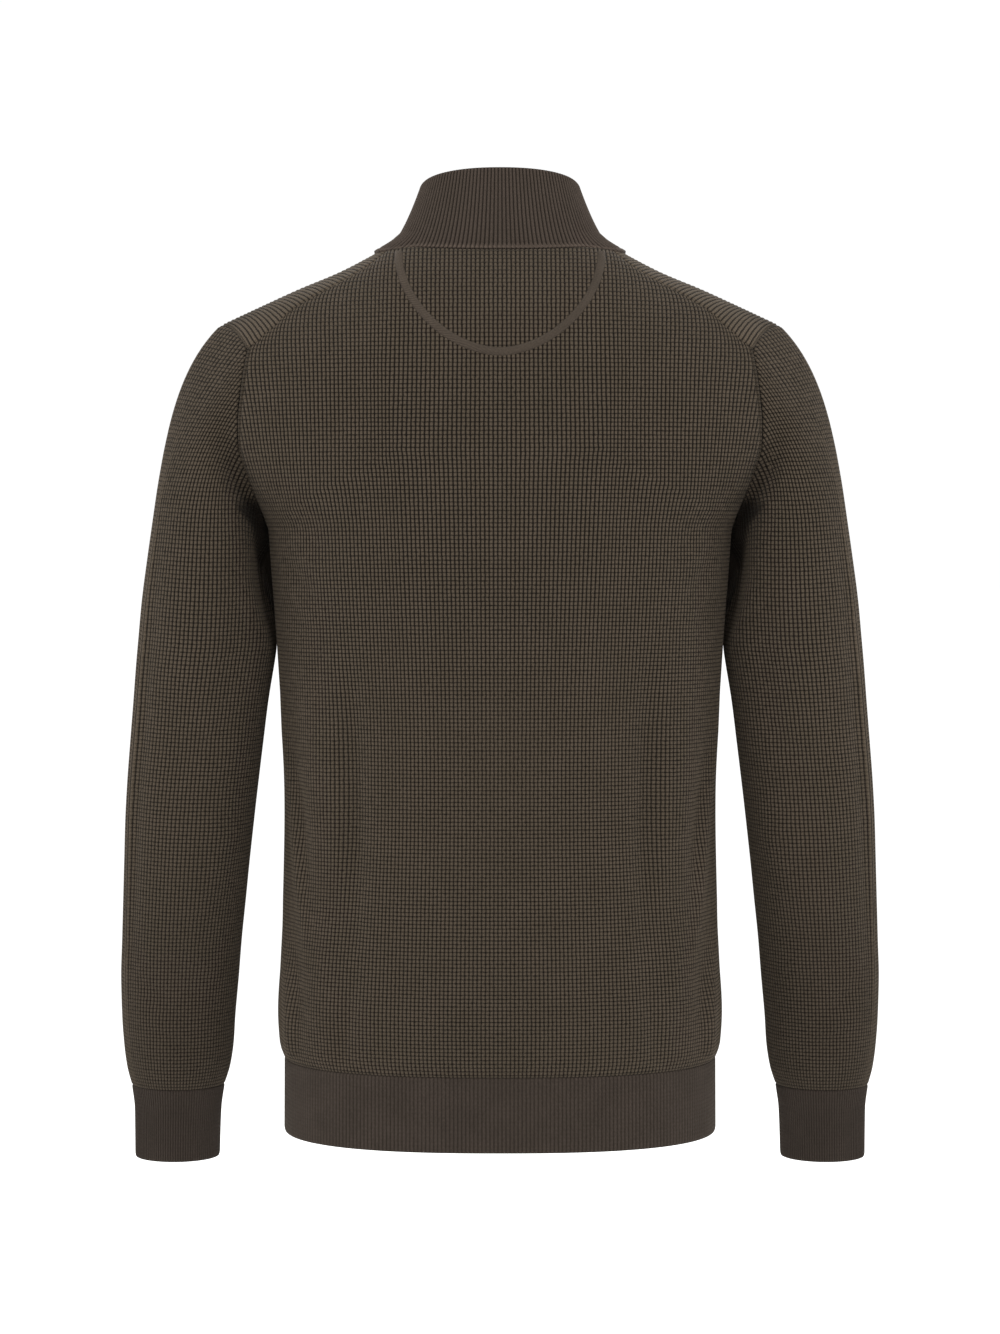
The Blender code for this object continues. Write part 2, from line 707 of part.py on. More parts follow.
def collar_grid(front_edge, back_edge):
    """Whole collar, from the right front edge round the back to the left one."""
    left = np.concatenate([front_edge, back_edge[::-1][1:]])
    top = collar_top(length_shares(left))
    rows = []
    for share in COLLAR_ROWS:
        flat = mixed(left[:, :2], top[:, :2], share**COLLAR_FLARE)
        height = mixed(left[:, 2], top[:, 2], share)
        rows.append(np.concatenate([flat, height[:, None]], axis=1))
    half = np.array(rows)
    half[:, 0, 0] = FRONT_EDGE
    whole = np.concatenate([half, mirrored(half)[:, ::-1][:, 1:]], axis=1)
    return whole, grid_normals(whole)


def grid_normals(grid, closed=False):
    """Normals of a grid that runs round the garment, turned away from its middle."""
    if closed:
        along = np.roll(grid, -1, axis=1) - np.roll(grid, 1, axis=1)
    else:
        along = np.gradient(grid, axis=1)
    facing = unit(np.cross(along, np.gradient(grid, axis=0)))
    middle = grid.mean(axis=1, keepdims=True)
    away = np.sum(facing * (grid - middle) * np.array((1, 1, 0)), axis=-1).sum()
    return facing if away > 0 else -facing


# Sleeves and cuffs


def sleeve_turns(loop, tip, underarm):
    """Turn of each armhole point about the sleeve: outer side 0, back 90, inner side 180."""
    around = np.concatenate([loop, loop[:1]])
    length = np.concatenate([[0], np.cumsum(np.linalg.norm(np.diff(around, axis=0), axis=1))])
    from_tip = (length[:-1] - length[tip]) % length[-1]
    reach = from_tip[underarm]
    behind = from_tip / reach * 180
    before = 180 + (from_tip - reach) / (length[-1] - reach) * 180
    return np.where(from_tip <= reach, behind, before)


def tube_point(columns, turns, z):
    """Point on a sleeve or cuff section at a turn, in degrees."""
    outer, inner = value(columns, "outer", z), value(columns, "inner", z)
    centre, half = (outer + inner) / 2, (outer - inner) / 2
    angle = np.radians(turns)
    x = centre + half * np.cos(angle)
    y = value(columns, "middle", z) + value(columns, "half_depth", z) * np.sin(angle)
    return np.stack(np.broadcast_arrays(x, y, z), axis=-1)


def sleeve_grid(loop, tip, underarm):
    """Rows of sleeve points from the armhole down, column by column with the armhole."""
    turns = sleeve_turns(loop, tip, underarm)
    lean = (1 + np.cos(np.radians(turns))) / 2
    cap_end = mixed(CAP_END_INNER, CAP_END_OUTER, lean)
    end = tube_point(SLEEVE, turns, cap_end)
    below = tube_point(SLEEVE, turns, cap_end - 0.004)
    reach = np.linalg.norm(end - loop, axis=1)[:, None]
    arriving = unit(below - end) * reach
    side = np.abs(np.sin(np.radians(turns)))[:, None]
    leaving = np.stack([
        value(CAP_LEAVING, "across", lean, "place"),
        np.zeros(len(turns)),
        value(CAP_LEAVING, "upwards", lean, "place"),
    ], axis=1)
    leaving = mixed(leaving, np.array(CAP_SIDE_LEAVING), side) * reach
    rows = []
    for t in CAP_SHARES:
        row = (2 * t**3 - 3 * t**2 + 1) * loop + (t**3 - 2 * t**2 + t) * leaving
        rows.append(row + (3 * t**2 - 2 * t**3) * end + (t**3 - t**2) * arriving)
    for share in SLEEVE_SHARES:
        rows.append(tube_point(SLEEVE, turns, mixed(cap_end, SLEEVE_END, share)))
    rows = np.array(rows)
    normals = grid_normals(rows, closed=True)
    folds = sleeve_folds(np.broadcast_to(turns, rows.shape[:2]), rows[..., 2])
    folds[0] = folds[-1] = 0
    return rows + normals * folds[..., None], normals, turns


# Zip


def offset_path(path, distance):
    """The zip's path moved out of the cloth, in the middle plane."""
    run = np.gradient(path, axis=0)
    out = unit(np.stack([np.zeros(len(path)), -run[:, 2], run[:, 1]], axis=1))
    return path + out * distance


def add_metal_row(name, path, sides, finish):
    """A flat strip along the zip between two distances from the middle, at the teeth's depth."""
    low, high = -WALL, TEETH_THICKNESS - WALL
    near, far = sides
    faces_at = []
    for x, distance in ((near, low), (far, low), (far, high), (near, high)):
        edge = offset_path(path, distance)
        edge[:, 0] = x
        faces_at.append(edge)
    add_ribbon(name, np.stack(faces_at, axis=1), finish)


def add_ribbon(name, rows, finish):
    """A long body from rows of its four corners, closed at both ends."""
    count = len(rows)
    faces = sheet_faces(count, 4, closed=True)
    faces += [(0, 1, 2, 3), tuple(range(4 * count - 4, 4 * count))]
    add_mesh(name, rows.reshape(-1, 3), faces, finish)


def tape_wall(name, edges, next_points, normals, finish):
    """A zip tape behind the cloth, made from the inner points of the walls beside the zip."""
    share = (TAPE_EDGE + TAPE_WIDTH - FRONT_EDGE) / (next_points[:, 0] - FRONT_EDGE)
    outside = mixed(edges, next_points, share[:, None])
    middle = edges.copy()
    middle[:, 0] = TAPE_EDGE
    columns = np.stack([middle, edges, outside], axis=1)
    facing = normals[:, None, :]
    front = columns - facing * SEAM_GAP
    return wall(name, front, front - facing * TAPE_THICKNESS, finish)


def cut_path(path, start, end):
    """Part of the zip's path between two heights."""
    inside = path[(path[:, 2] > start + 1e-4) & (path[:, 2] < end - 1e-4)]
    ends = [[0, np.interp(z, path[:, 2], path[:, 1]), z] for z in (start, end)]
    return np.concatenate([ends[:1], inside, ends[1:]])


def add_block(name, size, centre, collection):
    """A box whose size and centre are across, along the zip and out of the cloth."""
    work = bmesh.new()
    bmesh.ops.create_cube(work, size=1.0)
    bmesh.ops.scale(work, vec=size, verts=work.verts)
    bmesh.ops.translate(work, vec=centre, verts=work.verts)
    mesh = bpy.data.meshes.new(name)
    work.to_mesh(mesh)
    work.free()
    made = bpy.data.objects.new(name, mesh)
    collection.objects.link(made)
    return made


def zip_frame(name, path, height):
    """An empty on the zip: its Y runs up the zip and its Z out of the cloth."""
    at = np.array([0, np.interp(height, path[:, 2], path[:, 1]), height])
    above = height + ZIP_RUN
    run = unit(np.array([0, np.interp(above, path[:, 2], path[:, 1]), above]) - at)
    made = bpy.data.objects.new(name, None)
    bpy.data.collections[COLLECTION].objects.link(made)
    made.location = at
    made.rotation_euler = (math.atan2(run[2], run[1]), 0, 0)
    return made


def add_slider(frame, finish):
    """Two plates on a post, with a bridge that holds the pull tab."""
    home = bpy.data.collections[COLLECTION]
    cutters = bpy.data.collections["cutters"]
    plate = (SLIDER_WIDTH, SLIDER_LENGTH, PLATE)
    slider = add_block("zip_slider", plate, (0, 0, FRONT_PLATE_OUT), home)
    slider.data.materials.append(finish)
    slider.parent = frame
    post_up = (SLIDER_LENGTH - POST_LENGTH) / 2
    post = (POST_WIDTH, POST_LENGTH, FRONT_PLATE_OUT - BACK_PLATE_OUT)
    arm_bottom = FRONT_PLATE_OUT + PLATE / 2 - BRIDGE_ROOT
    arm_top = FRONT_PLATE_OUT + PLATE / 2 + BRIDGE_HOLLOW + BRIDGE_THICKNESS
    arm = (BRIDGE_WIDTH, BRIDGE_THICKNESS, arm_top - arm_bottom)
    arm_up, arm_out = (BRIDGE_LENGTH - BRIDGE_THICKNESS) / 2, (arm_top + arm_bottom) / 2
    top = (BRIDGE_WIDTH, BRIDGE_LENGTH, BRIDGE_THICKNESS)
    pieces = {
        "slider_back_plate": (plate, (0, 0, BACK_PLATE_OUT)),
        "slider_post": (post, (0, post_up, (FRONT_PLATE_OUT + BACK_PLATE_OUT) / 2)),
        "slider_bridge_low": (arm, (0, -arm_up, arm_out)),
        "slider_bridge_high": (arm, (0, arm_up, arm_out)),
        "slider_bridge_top": (top, (0, 0, arm_top - BRIDGE_THICKNESS / 2)),
    }
    for name, (size, centre) in pieces.items():
        piece = add_block(name, size, centre, cutters)
        piece.parent = frame
        piece.hide_render = True
        piece.display_type = "WIRE"
        join = slider.modifiers.new(name, "BOOLEAN")
        join.operation = "UNION"
        join.object = piece


def rounded_rectangle(curve, width, bottom, top, radius, steps=4):
    """A closed outline on a 2D curve, with round corners."""
    half = width / 2 - radius
    corners = (
        (half, top - radius, 0),
        (-half, top - radius, 90),
        (-half, bottom + radius, 180),
        (half, bottom + radius, 270),
    )
    outline = []
    for x, y, start in corners:
        for step in range(steps + 1):
            angle = math.radians(start + 90 * step / steps)
            outline.append((x + radius * math.cos(angle), y + radius * math.sin(angle), 0, 1))
    spline = curve.splines.new("POLY")
    spline.points.add(len(outline) - 1)
    for point, place in zip(spline.points, outline):
        point.co = place
    spline.use_cyclic_u = True


def add_pull_tab(frame, finish):
    """A flat tab whose upper bar passes under the slider's bridge and turns there."""
    hinge = bpy.data.objects.new("pull_tab_hinge", None)
    bpy.data.collections[COLLECTION].objects.link(hinge)
    hinge.parent = frame
    hinge.location = (0, 0, HINGE_OUT)
    curve = bpy.data.curves.new("zip_pull_tab", "CURVE")
    curve.dimensions = "2D"
    curve.fill_mode = "BOTH"
    curve.extrude = TAB_THICKNESS / 2
    top = TAB_BAR / 2
    bottom = top - TAB_LENGTH
    rounded_rectangle(curve, TAB_WIDTH, bottom, top, TAB_CORNER)
    rounded_rectangle(curve, TAB_HOLE_WIDTH, -top - TAB_HOLE_LENGTH, -top, TAB_HOLE_CORNER, 2)
    slot = bottom + TAB_SLOT_START, bottom + TAB_SLOT_END
    rounded_rectangle(curve, TAB_HOLE_WIDTH, *slot, TAB_CORNER)
    curve.materials.append(finish)
    tab = bpy.data.objects.new("zip_pull_tab", curve)
    bpy.data.collections[COLLECTION].objects.link(tab)
    tab.parent = hinge


# Pieces


def add_body(knit):
    """Back and fronts, and the grids that the other pieces are made from."""
    back, back_normals = back_grid()
    front, front_normals = front_grid()
    collar, collar_normals = collar_grid(front[-1, :NECK_COUNT], back[-1, :BACK_COUNT])
    beside_front = collar_normals[0, :NECK_COUNT]
    beside_back = collar_normals[0, NECK_COUNT - 1 : NECK_COUNT + BACK_COUNT - 1][::-1]
    front_mitre = mitred(front_normals[-1, :NECK_COUNT], beside_front)
    back_mitre = mitred(back_normals[-1, :BACK_COUNT], beside_back)
    back_mitre[-1] = front_mitre[-1]
    front_normals[-1, :NECK_COUNT] = front_mitre
    back_normals[-1, :BACK_COUNT] = back_mitre
    half = np.concatenate([front_mitre, back_mitre[::-1][1:]])
    collar_normals[0] = np.concatenate([half, mirrored(half)[::-1][1:]])
    whole_back = np.concatenate([mirrored(back)[:, ::-1], back[:, 1:]], axis=1)
    whole_normals = np.concatenate([mirrored(back_normals)[:, ::-1], back_normals[:, 1:]], axis=1)
    panel("back_panel", whole_back, whole_normals, knit)
    panel("front_left", front, front_normals, knit)
    panel("front_right", mirrored(front), mirrored(front_normals), knit)
    return (back, back_normals), (front, front_normals), (collar, collar_normals)


def add_hem(back, front, rib):
    """Ribbed hem: it carries on the panels' lower edges and hangs almost straight."""
    back_edge, front_edge = back[0][0], front[0][0]
    back_facing, front_facing = (unit(normals[0] * (1, 1, 0)) for points, normals in (back, front))
    back_edge = np.concatenate([mirrored(back_edge)[::-1], back_edge[1:]])
    back_facing = np.concatenate([mirrored(back_facing)[::-1], back_facing[1:]])
    grid, facing = hem_grid(back_edge, back_facing)
    ribbed_wall("hem_back", grid, facing, 1, RIB_PITCH, rib)
    grid, facing = hem_grid(front_edge, front_facing)
    grid[0, 0, 0] = FRONT_EDGE
    ribbed_wall("hem_front_left", grid, facing, 1, RIB_PITCH, rib)
    ribbed_wall("hem_front_right", mirrored(grid), mirrored(facing), 1, RIB_PITCH, rib)


def hem_grid(top, facing):
    """A hem piece's lower and upper rows."""
    bottom = top + facing * HEM_SPREAD + np.array((0, 0, HEM_BOTTOM - HEM_TOP))
    return np.stack([bottom, top]), np.stack([facing, facing])


def add_sleeves(back, front, knit, rib):
    """Sleeves set into the armholes, and the cuffs on their ends."""
    side = SIDE_COUNT - 1
    back_edge, back_facing = back[0][side:, -1], back[1][side:, -1]
    front_edge, front_facing = front[0][side:, -1], front[1][side:, -1]
    loop = np.concatenate([back_edge[::-1], front_edge[1:-1]])
    facing = np.concatenate([back_facing[::-1], front_facing[1:-1]])
    underarm = len(back_edge) - 1
    tip = underarm + len(FRONT_ARM_HEIGHTS)
    rows, normals, turns = sleeve_grid(loop, tip, underarm)
    normals[0] = facing
    normals[-1] = unit(normals[-1] * (1, 1, 0))
    panel("sleeve_left", rows, normals, knit, closed=True)
    panel("sleeve_right", mirrored(rows), mirrored(normals), knit, closed=True)
    end = tube_point(CUFF, turns, np.full(len(turns), CUFF_BOTTOM))
    cuff = np.stack([end, rows[-1]])
    cuff_normals = np.stack([normals[-1], normals[-1]])
    ribbed_wall("cuff_left", cuff, cuff_normals, 1, CUFF_RIB_PITCH, rib, closed=True)
    ribbed_wall("cuff_right", mirrored(cuff), mirrored(cuff_normals), 1, CUFF_RIB_PITCH, rib, closed=True)


def add_half_moon(rib):
    """Band laid on the back in a half moon from one end of the neck seam to the other."""
    turn = np.linspace(0, math.pi, MOON_STEPS + 1)
    power = 2 / MOON_CURVE
    faces_at = []
    for offset, height in ((-0.5, 0), (0.5, 0), (0.5, MOON_THICKNESS), (-0.5, MOON_THICKNESS)):
        reach, drop = MOON_HALF_WIDTH + offset * MOON_BAND, MOON_DEPTH + offset * MOON_BAND
        x = reach * np.sign(np.cos(turn)) * np.abs(np.cos(turn)) ** power
        z = MOON_TOP - drop * np.sin(turn) ** power
        lift = MOON_CLEARANCE + height
        faces_at.append(body_point(x, z, "back") + body_normal(x, z, "back") * lift)
    add_ribbon("neck_half_moon", np.stack(faces_at, axis=1), rib)


def add_zip(front, collar, tape, metal):
    """The closed zip, from the hem's lower edge to the collar's top."""
    outer, facing = (
        np.concatenate([low[:1, :2], low[:, :2], high[1:, :2]]) for low, high in zip(front, collar)
    )
    outer[0, :, 1] -= HEM_SPREAD
    outer[0, :, 2] = HEM_BOTTOM + TAPE_INSET
    path = outer[:, 0] * (0, 1, 1)
    path[0, 2] = HEM_BOTTOM
    facing[:, 0] = unit(facing[:, 0] * (0, 1, 1))
    inner = outer - facing * WALL
    inner[-1] += unit(inner[-2] - inner[-1]) * TAPE_INSET
    slider_top = SLIDER_HEIGHT + SLIDER_LENGTH / 2
    box_end = HEM_BOTTOM + BOX_START + BOX_LENGTH
    box_part = cut_path(path, HEM_BOTTOM + BOX_START, box_end)
    teeth_part = cut_path(path, box_end + BOX_CLEARANCE, slider_top - POST_LENGTH - TEETH_CLEARANCE)
    stop_start = slider_top + STOP_CLEARANCE
    stop_part = cut_path(path, stop_start, stop_start + STOP_LENGTH)
    for name, side in (("left", 1), ("right", -1)):
        strip_wall = tape_wall("zip_tape_" + name, inner[:, 0], inner[:, 1], facing[:, 0], tape)
        if side < 0:
            mirror_mesh(strip_wall)
        teeth_sides = side * TEETH_EDGE, side * (TEETH_EDGE + TEETH_WIDTH)
        add_metal_row("zip_teeth_" + name, teeth_part, teeth_sides, metal)
        stop_sides = side * TAPE_EDGE, side * STOP_OUTER_EDGE
        add_metal_row("zip_stop_" + name, stop_part, stop_sides, metal)
    add_metal_row("zip_box", box_part, (-BOX_HALF_WIDTH, BOX_HALF_WIDTH), metal)
    frame = zip_frame("slider_place", path, SLIDER_HEIGHT)
    add_slider(frame, metal)
    add_pull_tab(frame, metal)


def mirror_mesh(thing):
    """Turns a left piece's mesh into the right one."""
    mesh = thing.data
    for vertex in mesh.vertices:
        vertex.co.x = -vertex.co.x
    mesh.flip_normals()


def clear_scene():
    for thing in list(bpy.data.objects):
        bpy.data.objects.remove(thing, do_unlink=True)
    for name in (COLLECTION, "cutters"):
        bpy.context.scene.collection.children.link(bpy.data.collections.new(name))


def main():
    clear_scene()
    knit = material("brown_knit", (0.058, 0.045, 0.034), 0.90)
    rib = material("brown_rib", (0.055, 0.042, 0.033), 0.90)
    tape = material("zip_tape", (0.030, 0.024, 0.019), 0.85)
    metal = material("zip_metal", (0.16, 0.14, 0.12), 0.35, 1.0)
    back, front, collar = add_body(knit)
    ribbed_wall("collar", *collar, 0, RIB_PITCH, rib)
    add_hem(back, front, rib)
    add_sleeves(back, front, knit, rib)
    add_half_moon(rib)
    add_zip(front, collar, tape, metal)


main()
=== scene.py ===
"""The looks of a knitted zip-up cardigan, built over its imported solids.

Each cloth piece is a thin shell on the form of its solid, with its wales and ribs as relief and
its courses in the material. Metres, +Z up. The back faces +Y and the wearer's left is +X.
"""

import math

import bpy
import mathutils
import numpy as np
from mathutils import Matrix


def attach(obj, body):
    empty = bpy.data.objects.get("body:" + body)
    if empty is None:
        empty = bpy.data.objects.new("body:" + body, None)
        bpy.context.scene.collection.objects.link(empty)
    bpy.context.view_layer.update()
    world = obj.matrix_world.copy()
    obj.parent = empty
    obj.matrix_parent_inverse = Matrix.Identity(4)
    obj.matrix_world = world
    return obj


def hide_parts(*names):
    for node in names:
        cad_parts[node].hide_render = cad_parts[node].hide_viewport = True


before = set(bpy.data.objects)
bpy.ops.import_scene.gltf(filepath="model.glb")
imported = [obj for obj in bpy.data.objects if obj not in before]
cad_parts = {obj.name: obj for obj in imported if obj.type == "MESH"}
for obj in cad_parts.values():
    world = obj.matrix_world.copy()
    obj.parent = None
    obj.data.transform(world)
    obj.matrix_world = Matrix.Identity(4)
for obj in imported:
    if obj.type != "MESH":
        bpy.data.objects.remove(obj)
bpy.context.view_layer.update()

# Cloth
WALL, THIN_WALL = 0.0022, 0.0007
HALF_GAP = 0.00006
ROW_STEP = 0.0044
EDGE_STEPS = np.array((0.0, 0.0007, 0.0014, 0.0022, 0.0031, 0.0041, 0.0054, 0.0072))
INNER_STEPS = (4, 8)
STEPS_PER_WALE = 4
STEPS_PER_RIB = 6
FOLD_MARGIN = 0.012
FOLD_FADE = 1.2
METRES_PER_DEGREE = 0.0009

# Wales, courses and ribs
BACK_WALES, SLEEVE_WALES = 77, 98
FRONT_WALE_PITCH = 0.00311
COURSE_PITCH = 0.003
LOW_COURSE_PITCH, COURSE_GROWTH = 0.003205, 0.0006
SLEEVE_COURSE, SLEEVE_SPREAD = 0.00283, 0.00116
RIB_PITCH, COLLAR_RIB_PITCH, CUFF_RIB_PITCH = 0.003, 0.0035, 0.00197
MOON_RIB_PITCH = 0.0021
LINK_PITCH = 0.0034
WALE_RELIEF, WALE_BASE = 0.00085, 0.00035
RIB_RELIEF, COLLAR_RIB_RELIEF = 0.0006, 0.00115
# Turn round the sleeve of its pressed crest, which gets a painted highlight
PAINTED_HIGHLIGHT_TURN = 31

# Seams: how near to them the wales flatten, and the lines beside them by place, width and height
SEAM_FADE = 0.0025
HEM_SEAM_SET_BACK = 0.0008
SHOULDER_LINES = (0.003, 0.0008, -0.0008), (0.0016, 0.0008, 0.0005)
ARMHOLE_LINES = (0.004, 0.0009, -0.0007), (0.0021, 0.001, 0.0004)
COLLAR_RIDGE, COLLAR_LINE = (0.0013, 0.0014, 1.0), (0.0042, 0.0009, -0.0004)
TAPE_CORD = (0.0006, 0.0006, 0.0004)

# Main heights
HEM_BOTTOM = -0.6805
HEM_TOP = -0.624
UNDERARM = -0.2165
SLEEVE_END = -0.65
CUFF_BOTTOM = -0.7066
HEM_SPREAD = 0.0004

# Neck, shoulders and opening
FRONT_EDGE = 0.0055
NECK_HALF_WIDTH = 0.0855
NECK_SIDE_HEIGHT = 0.001
NECK_SEAM_X = 0.0825
NECK_SEAM_HEIGHT = -0.0005
RIDGE_START_X = 0.0925
FRONT_NECK_HEIGHT = -0.072
BACK_NECK_HEIGHT = -0.005
TIP_X = 0.2155
TIP_HEIGHT = -0.0592
SEAM_END_X = 0.192
SEAM_END_HEIGHT = -0.0796
NECK_CURVE = 2.2
TORSO_CURVE = 2.5
BACK_CLOSING = (0.1, 2.0)
FRONT_CLOSING = (0.28, 1.5)
TURN_IN_START = -0.24
STRAIGHT_PLACES = 0.93
SHOULDER_WALES = 0.77
RIDGE_SHARE = 0.85
OVER_SHARES = np.linspace(0, 1, 24)[1:]

# Collar's top edge, and its base, which lies out over the shoulder
COLLAR_HEIGHT = 0.06
COLLAR_HALF_WIDTH = 0.06
COLLAR_BACK_DEPTH = 0.052
COLLAR_FRONT_DEPTH = 0.06
COLLAR_SIDE_HEIGHT = 0.0465
COLLAR_BACK_SLOPE = 0.2
COLLAR_FRONT_DROP = 0.0445
COLLAR_FLARE = 0.66
FLARE_OUT, FLARE_UP = 0.0115, -0.0035
FLARE_SHARE = 0.2

# Half-moon band
MOON_HALF_WIDTH = 0.0766
MOON_TOP = -0.007
MOON_DEPTH = 0.078
MOON_CURVE = 1.85
MOON_BAND = 0.0066
MOON_RISE = 0.0013
MOON_SHEET_WIDTH = 0.0105

# Sleeves: their clearance from the body's side, their cap and its ends
SIDE_CLEARANCE = 0.0013
CAP_END_OUTER = -0.196
CAP_END_INNER = -0.248
CAP_SIDE_LEAVING = (0.62, 0, -0.75)
CAP_LENGTH = 0.09
CUFF_RADIUS = 0.0334

# Zip
TAPE_EDGE = 0.0012
TAPE_WIDTH = 0.0138
TAPE_BEHIND = 0.0028
ZIP_COLUMNS = 12
TOOTH_PITCH = 0.0026
TOOTH_BEHIND = 0.0014
TEETH_LOW, TEETH_HIGH = HEM_BOTTOM + 0.0105, -0.0247

# Centres that the pieces' outer faces turn away from
BACK_CENTRE = (0, -0.02, -0.35)
FRONT_CENTRE = (0.09, 0.02, -0.35)
SLEEVE_CENTRE = (0.235, 0.0, -0.4)
CUFF_CENTRE = (0.253, -0.0125, -0.68)
HEM_CENTRE = (0, 0, -0.65)

# Colours of the wool, from its lighter to its darker places, and its painted shade between stitches
WOOL_PAINTED_SHADE = (0.004, 0.0025, 0.0014)
KNIT_TONES = (0.0595, 0.0457, 0.0327), (0.0465, 0.036, 0.0242)
COLLAR_TONES = (0.048, 0.036, 0.0285), (0.037, 0.028, 0.0215)
# The hem and cuffs are darker by painted shade, as the light falls off towards the bottom
HEM_TONES_WITH_PAINTED_SHADE = (0.04, 0.0302, 0.024), (0.026, 0.0197, 0.015)
CUFF_TONES_WITH_PAINTED_SHADE = (0.031, 0.0232, 0.0185), (0.023, 0.0173, 0.0134)
MOON_TONES = (0.054, 0.0415, 0.0313), (0.04, 0.031, 0.0232)
TAPE_TONES = (0.022, 0.017, 0.013), (0.034, 0.027, 0.021)
METAL_TONES = (0.1, 0.085, 0.07), (0.3, 0.265, 0.22)
FLOOR_TONES = (0.95, 0.95, 0.95), (0.97, 0.97, 0.97)
SHEEN_TINT = (0.8, 0.7, 0.58)
WHITE = (1.0, 1.0, 1.0)

# Floor, lights and camera
FLOOR_HEIGHT = -1.05
FLOOR_RADII = (0.5, 3.0, 12.0, 40.0)
FLOOR_SIDES = 48
SIDE_LIGHTS = (
    ("key_", (0.7, 2.0, 0.9), (0, 0, -0.12), (0.9, 0.9), 17.0),
    ("front_", (0.7, -2.0, 0.9), (0, 0, -0.12), (0.9, 0.9), 17.0),
    ("rim_", (2.0, 0.1, 0.1), (0.25, 0, -0.30), (0.4, 1.4), 11.0),
)
TOP_LIGHT = ("top", (0, 0.9, 1.4), (0, 0.05, -0.2), (1.0, 0.8), 5.0)
WORLD_STRENGTH = 1.02
SENSOR = 36.0
CAMERA_DISTANCE, CAMERA_HEIGHT, AIM_HEIGHT = 2.5, -0.213, -0.323
FRAME_HEIGHT = 1.034


def table(columns, *rows):
    """A table's columns by name."""
    return {name: np.array(values, float) for name, values in zip(columns.split(), zip(*rows))}


TORSO = table(
    "height half_width back_depth front_depth",
    (HEM_TOP, 0.1668, 0.117, 0.121),
    (-0.6125, 0.1706, 0.119, 0.124),
    (-0.588, 0.172, 0.119, 0.126),
    (-0.55, 0.1703, 0.117, 0.124),
    (-0.504, 0.168, 0.113, 0.119),
    (-0.442, 0.1668, 0.107, 0.113),
    (-0.38, 0.1678, 0.105, 0.112),
    (-0.318, 0.1712, 0.108, 0.116),
    (-0.24, 0.1768, 0.113, 0.124),
    (UNDERARM, 0.1785, 0.114, 0.126),
    (-0.199, 0.19, 0.115, 0.127),
    (-0.175, 0.209, 0.115, 0.127),
    (-0.154, 0.2195, 0.115, 0.127),
    (-0.136, 0.2225, 0.115, 0.127),
    (-0.06, 0.223, 0.111, 0.125),
    (0.03, 0.223, 0.106, 0.122),
)
RIDGE = table(
    "across height",
    (0, 0.013),
    (0.05, 0.0095),
    (0.0855, 0.001),
    (0.0988, -0.0062),
    (0.1236, -0.0188),
    (0.156, -0.0322),
    (0.18, -0.043),
    (0.1965, -0.0505),
    (0.2155, -0.0592),
    (0.223, -0.0628),
)
SHOULDER_SEAM = table(
    "across height",
    (0.0825, -0.0005),
    (0.1019, -0.0175),
    (0.1217, -0.029),
    (0.1378, -0.0377),
    (0.1535, -0.0469),
    (0.1683, -0.0599),
    (0.1811, -0.0721),
    (0.192, -0.0796),
)
ARMHOLE = table(
    "height back front",
    (UNDERARM, 0.1785, 0.1785),
    (-0.199, 0.1845, 0.183),
    (-0.175, 0.1927, 0.1885),
    (-0.154, 0.1982, 0.1915),
    (-0.136, 0.1982, 0.1925),
    (-0.117, 0.1966, 0.1935),
    (-0.0995, 0.1946, 0.1965),
    (SEAM_END_HEIGHT, SEAM_END_X, 0.205),
    (TIP_HEIGHT, SEAM_END_X, TIP_X),
)
BACK_PITCH = table(
    "height pitch",
    (UNDERARM, 0.00308),
    (-0.15, 0.00325),
    (-0.08, 0.00334),
    (0, 0.00336),
)
SLEEVE = table(
    "height outer inner half_depth middle",
    (CAP_END_OUTER, 0.2655, 0.176, 0.0625, 0.005),
    (-0.245, 0.2728, 0.173, 0.062, 0.004),
    (-0.271, 0.2763, 0.1715, 0.0615, 0.004),
    (-0.302, 0.2794, 0.1725, 0.06, 0.003),
    (-0.318, 0.2809, 0.175, 0.059, 0.003),
    (-0.349, 0.2835, 0.1802, 0.057, 0.002),
    (-0.38, 0.2862, 0.1842, 0.055, 0.001),
    (-0.411, 0.2888, 0.1881, 0.053, 0),
    (-0.442, 0.2908, 0.1919, 0.051, -0.002),
    (-0.473, 0.292, 0.1955, 0.0495, -0.004),
    (-0.504, 0.2932, 0.1988, 0.048, -0.006),
    (-0.535, 0.2944, 0.2022, 0.0465, -0.008),
    (-0.566, 0.2956, 0.2049, 0.045, -0.01),
    (-0.597, 0.295, 0.2078, 0.0435, -0.011),
    (-0.618, 0.2937, 0.2092, 0.042, -0.012),
    (-0.636, 0.2914, 0.212, 0.039, -0.012),
    (SLEEVE_END, 0.2878, 0.2164, 0.0345, -0.012),
)
CUFF = table(
    "height outer inner half_depth middle",
    (CUFF_BOTTOM, 0.2855, 0.2206, 0.0315, -0.013),
    (-0.67, 0.2857, 0.2192, 0.0325, -0.013),
    (SLEEVE_END, 0.2878, 0.2164, 0.0345, -0.012),
)
CAP_LEAVING = table("place across upwards", (0, 0.1, -1.00), (1, 0.72, -0.68))

# Valley behind the arm, between the sleeve and the back. Its depth is negative where the cloth
# stands out instead.
VALLEY = table(
    "height across depth width",
    (-0.345, 0.172, 0, 0.009),
    (-0.3, 0.1755, 0.004, 0.009),
    (-0.26, 0.18, 0.009, 0.009),
    (-0.2284, 0.184, 0.015, 0.009),
    (-0.2052, 0.188, 0.02, 0.009),
    (-0.1858, 0.194, 0.018, 0.009),
    (-0.1626, 0.2035, 0.011, 0.01),
    (-0.1393, 0.209, 0.0035, 0.011),
    (-0.12, 0.204, -0.0012, 0.013),
    (-0.095, 0.196, -0.0024, 0.014),
    (-0.07, 0.196, -0.0022, 0.014),
    (-0.056, 0.205, 0, 0.014),
)

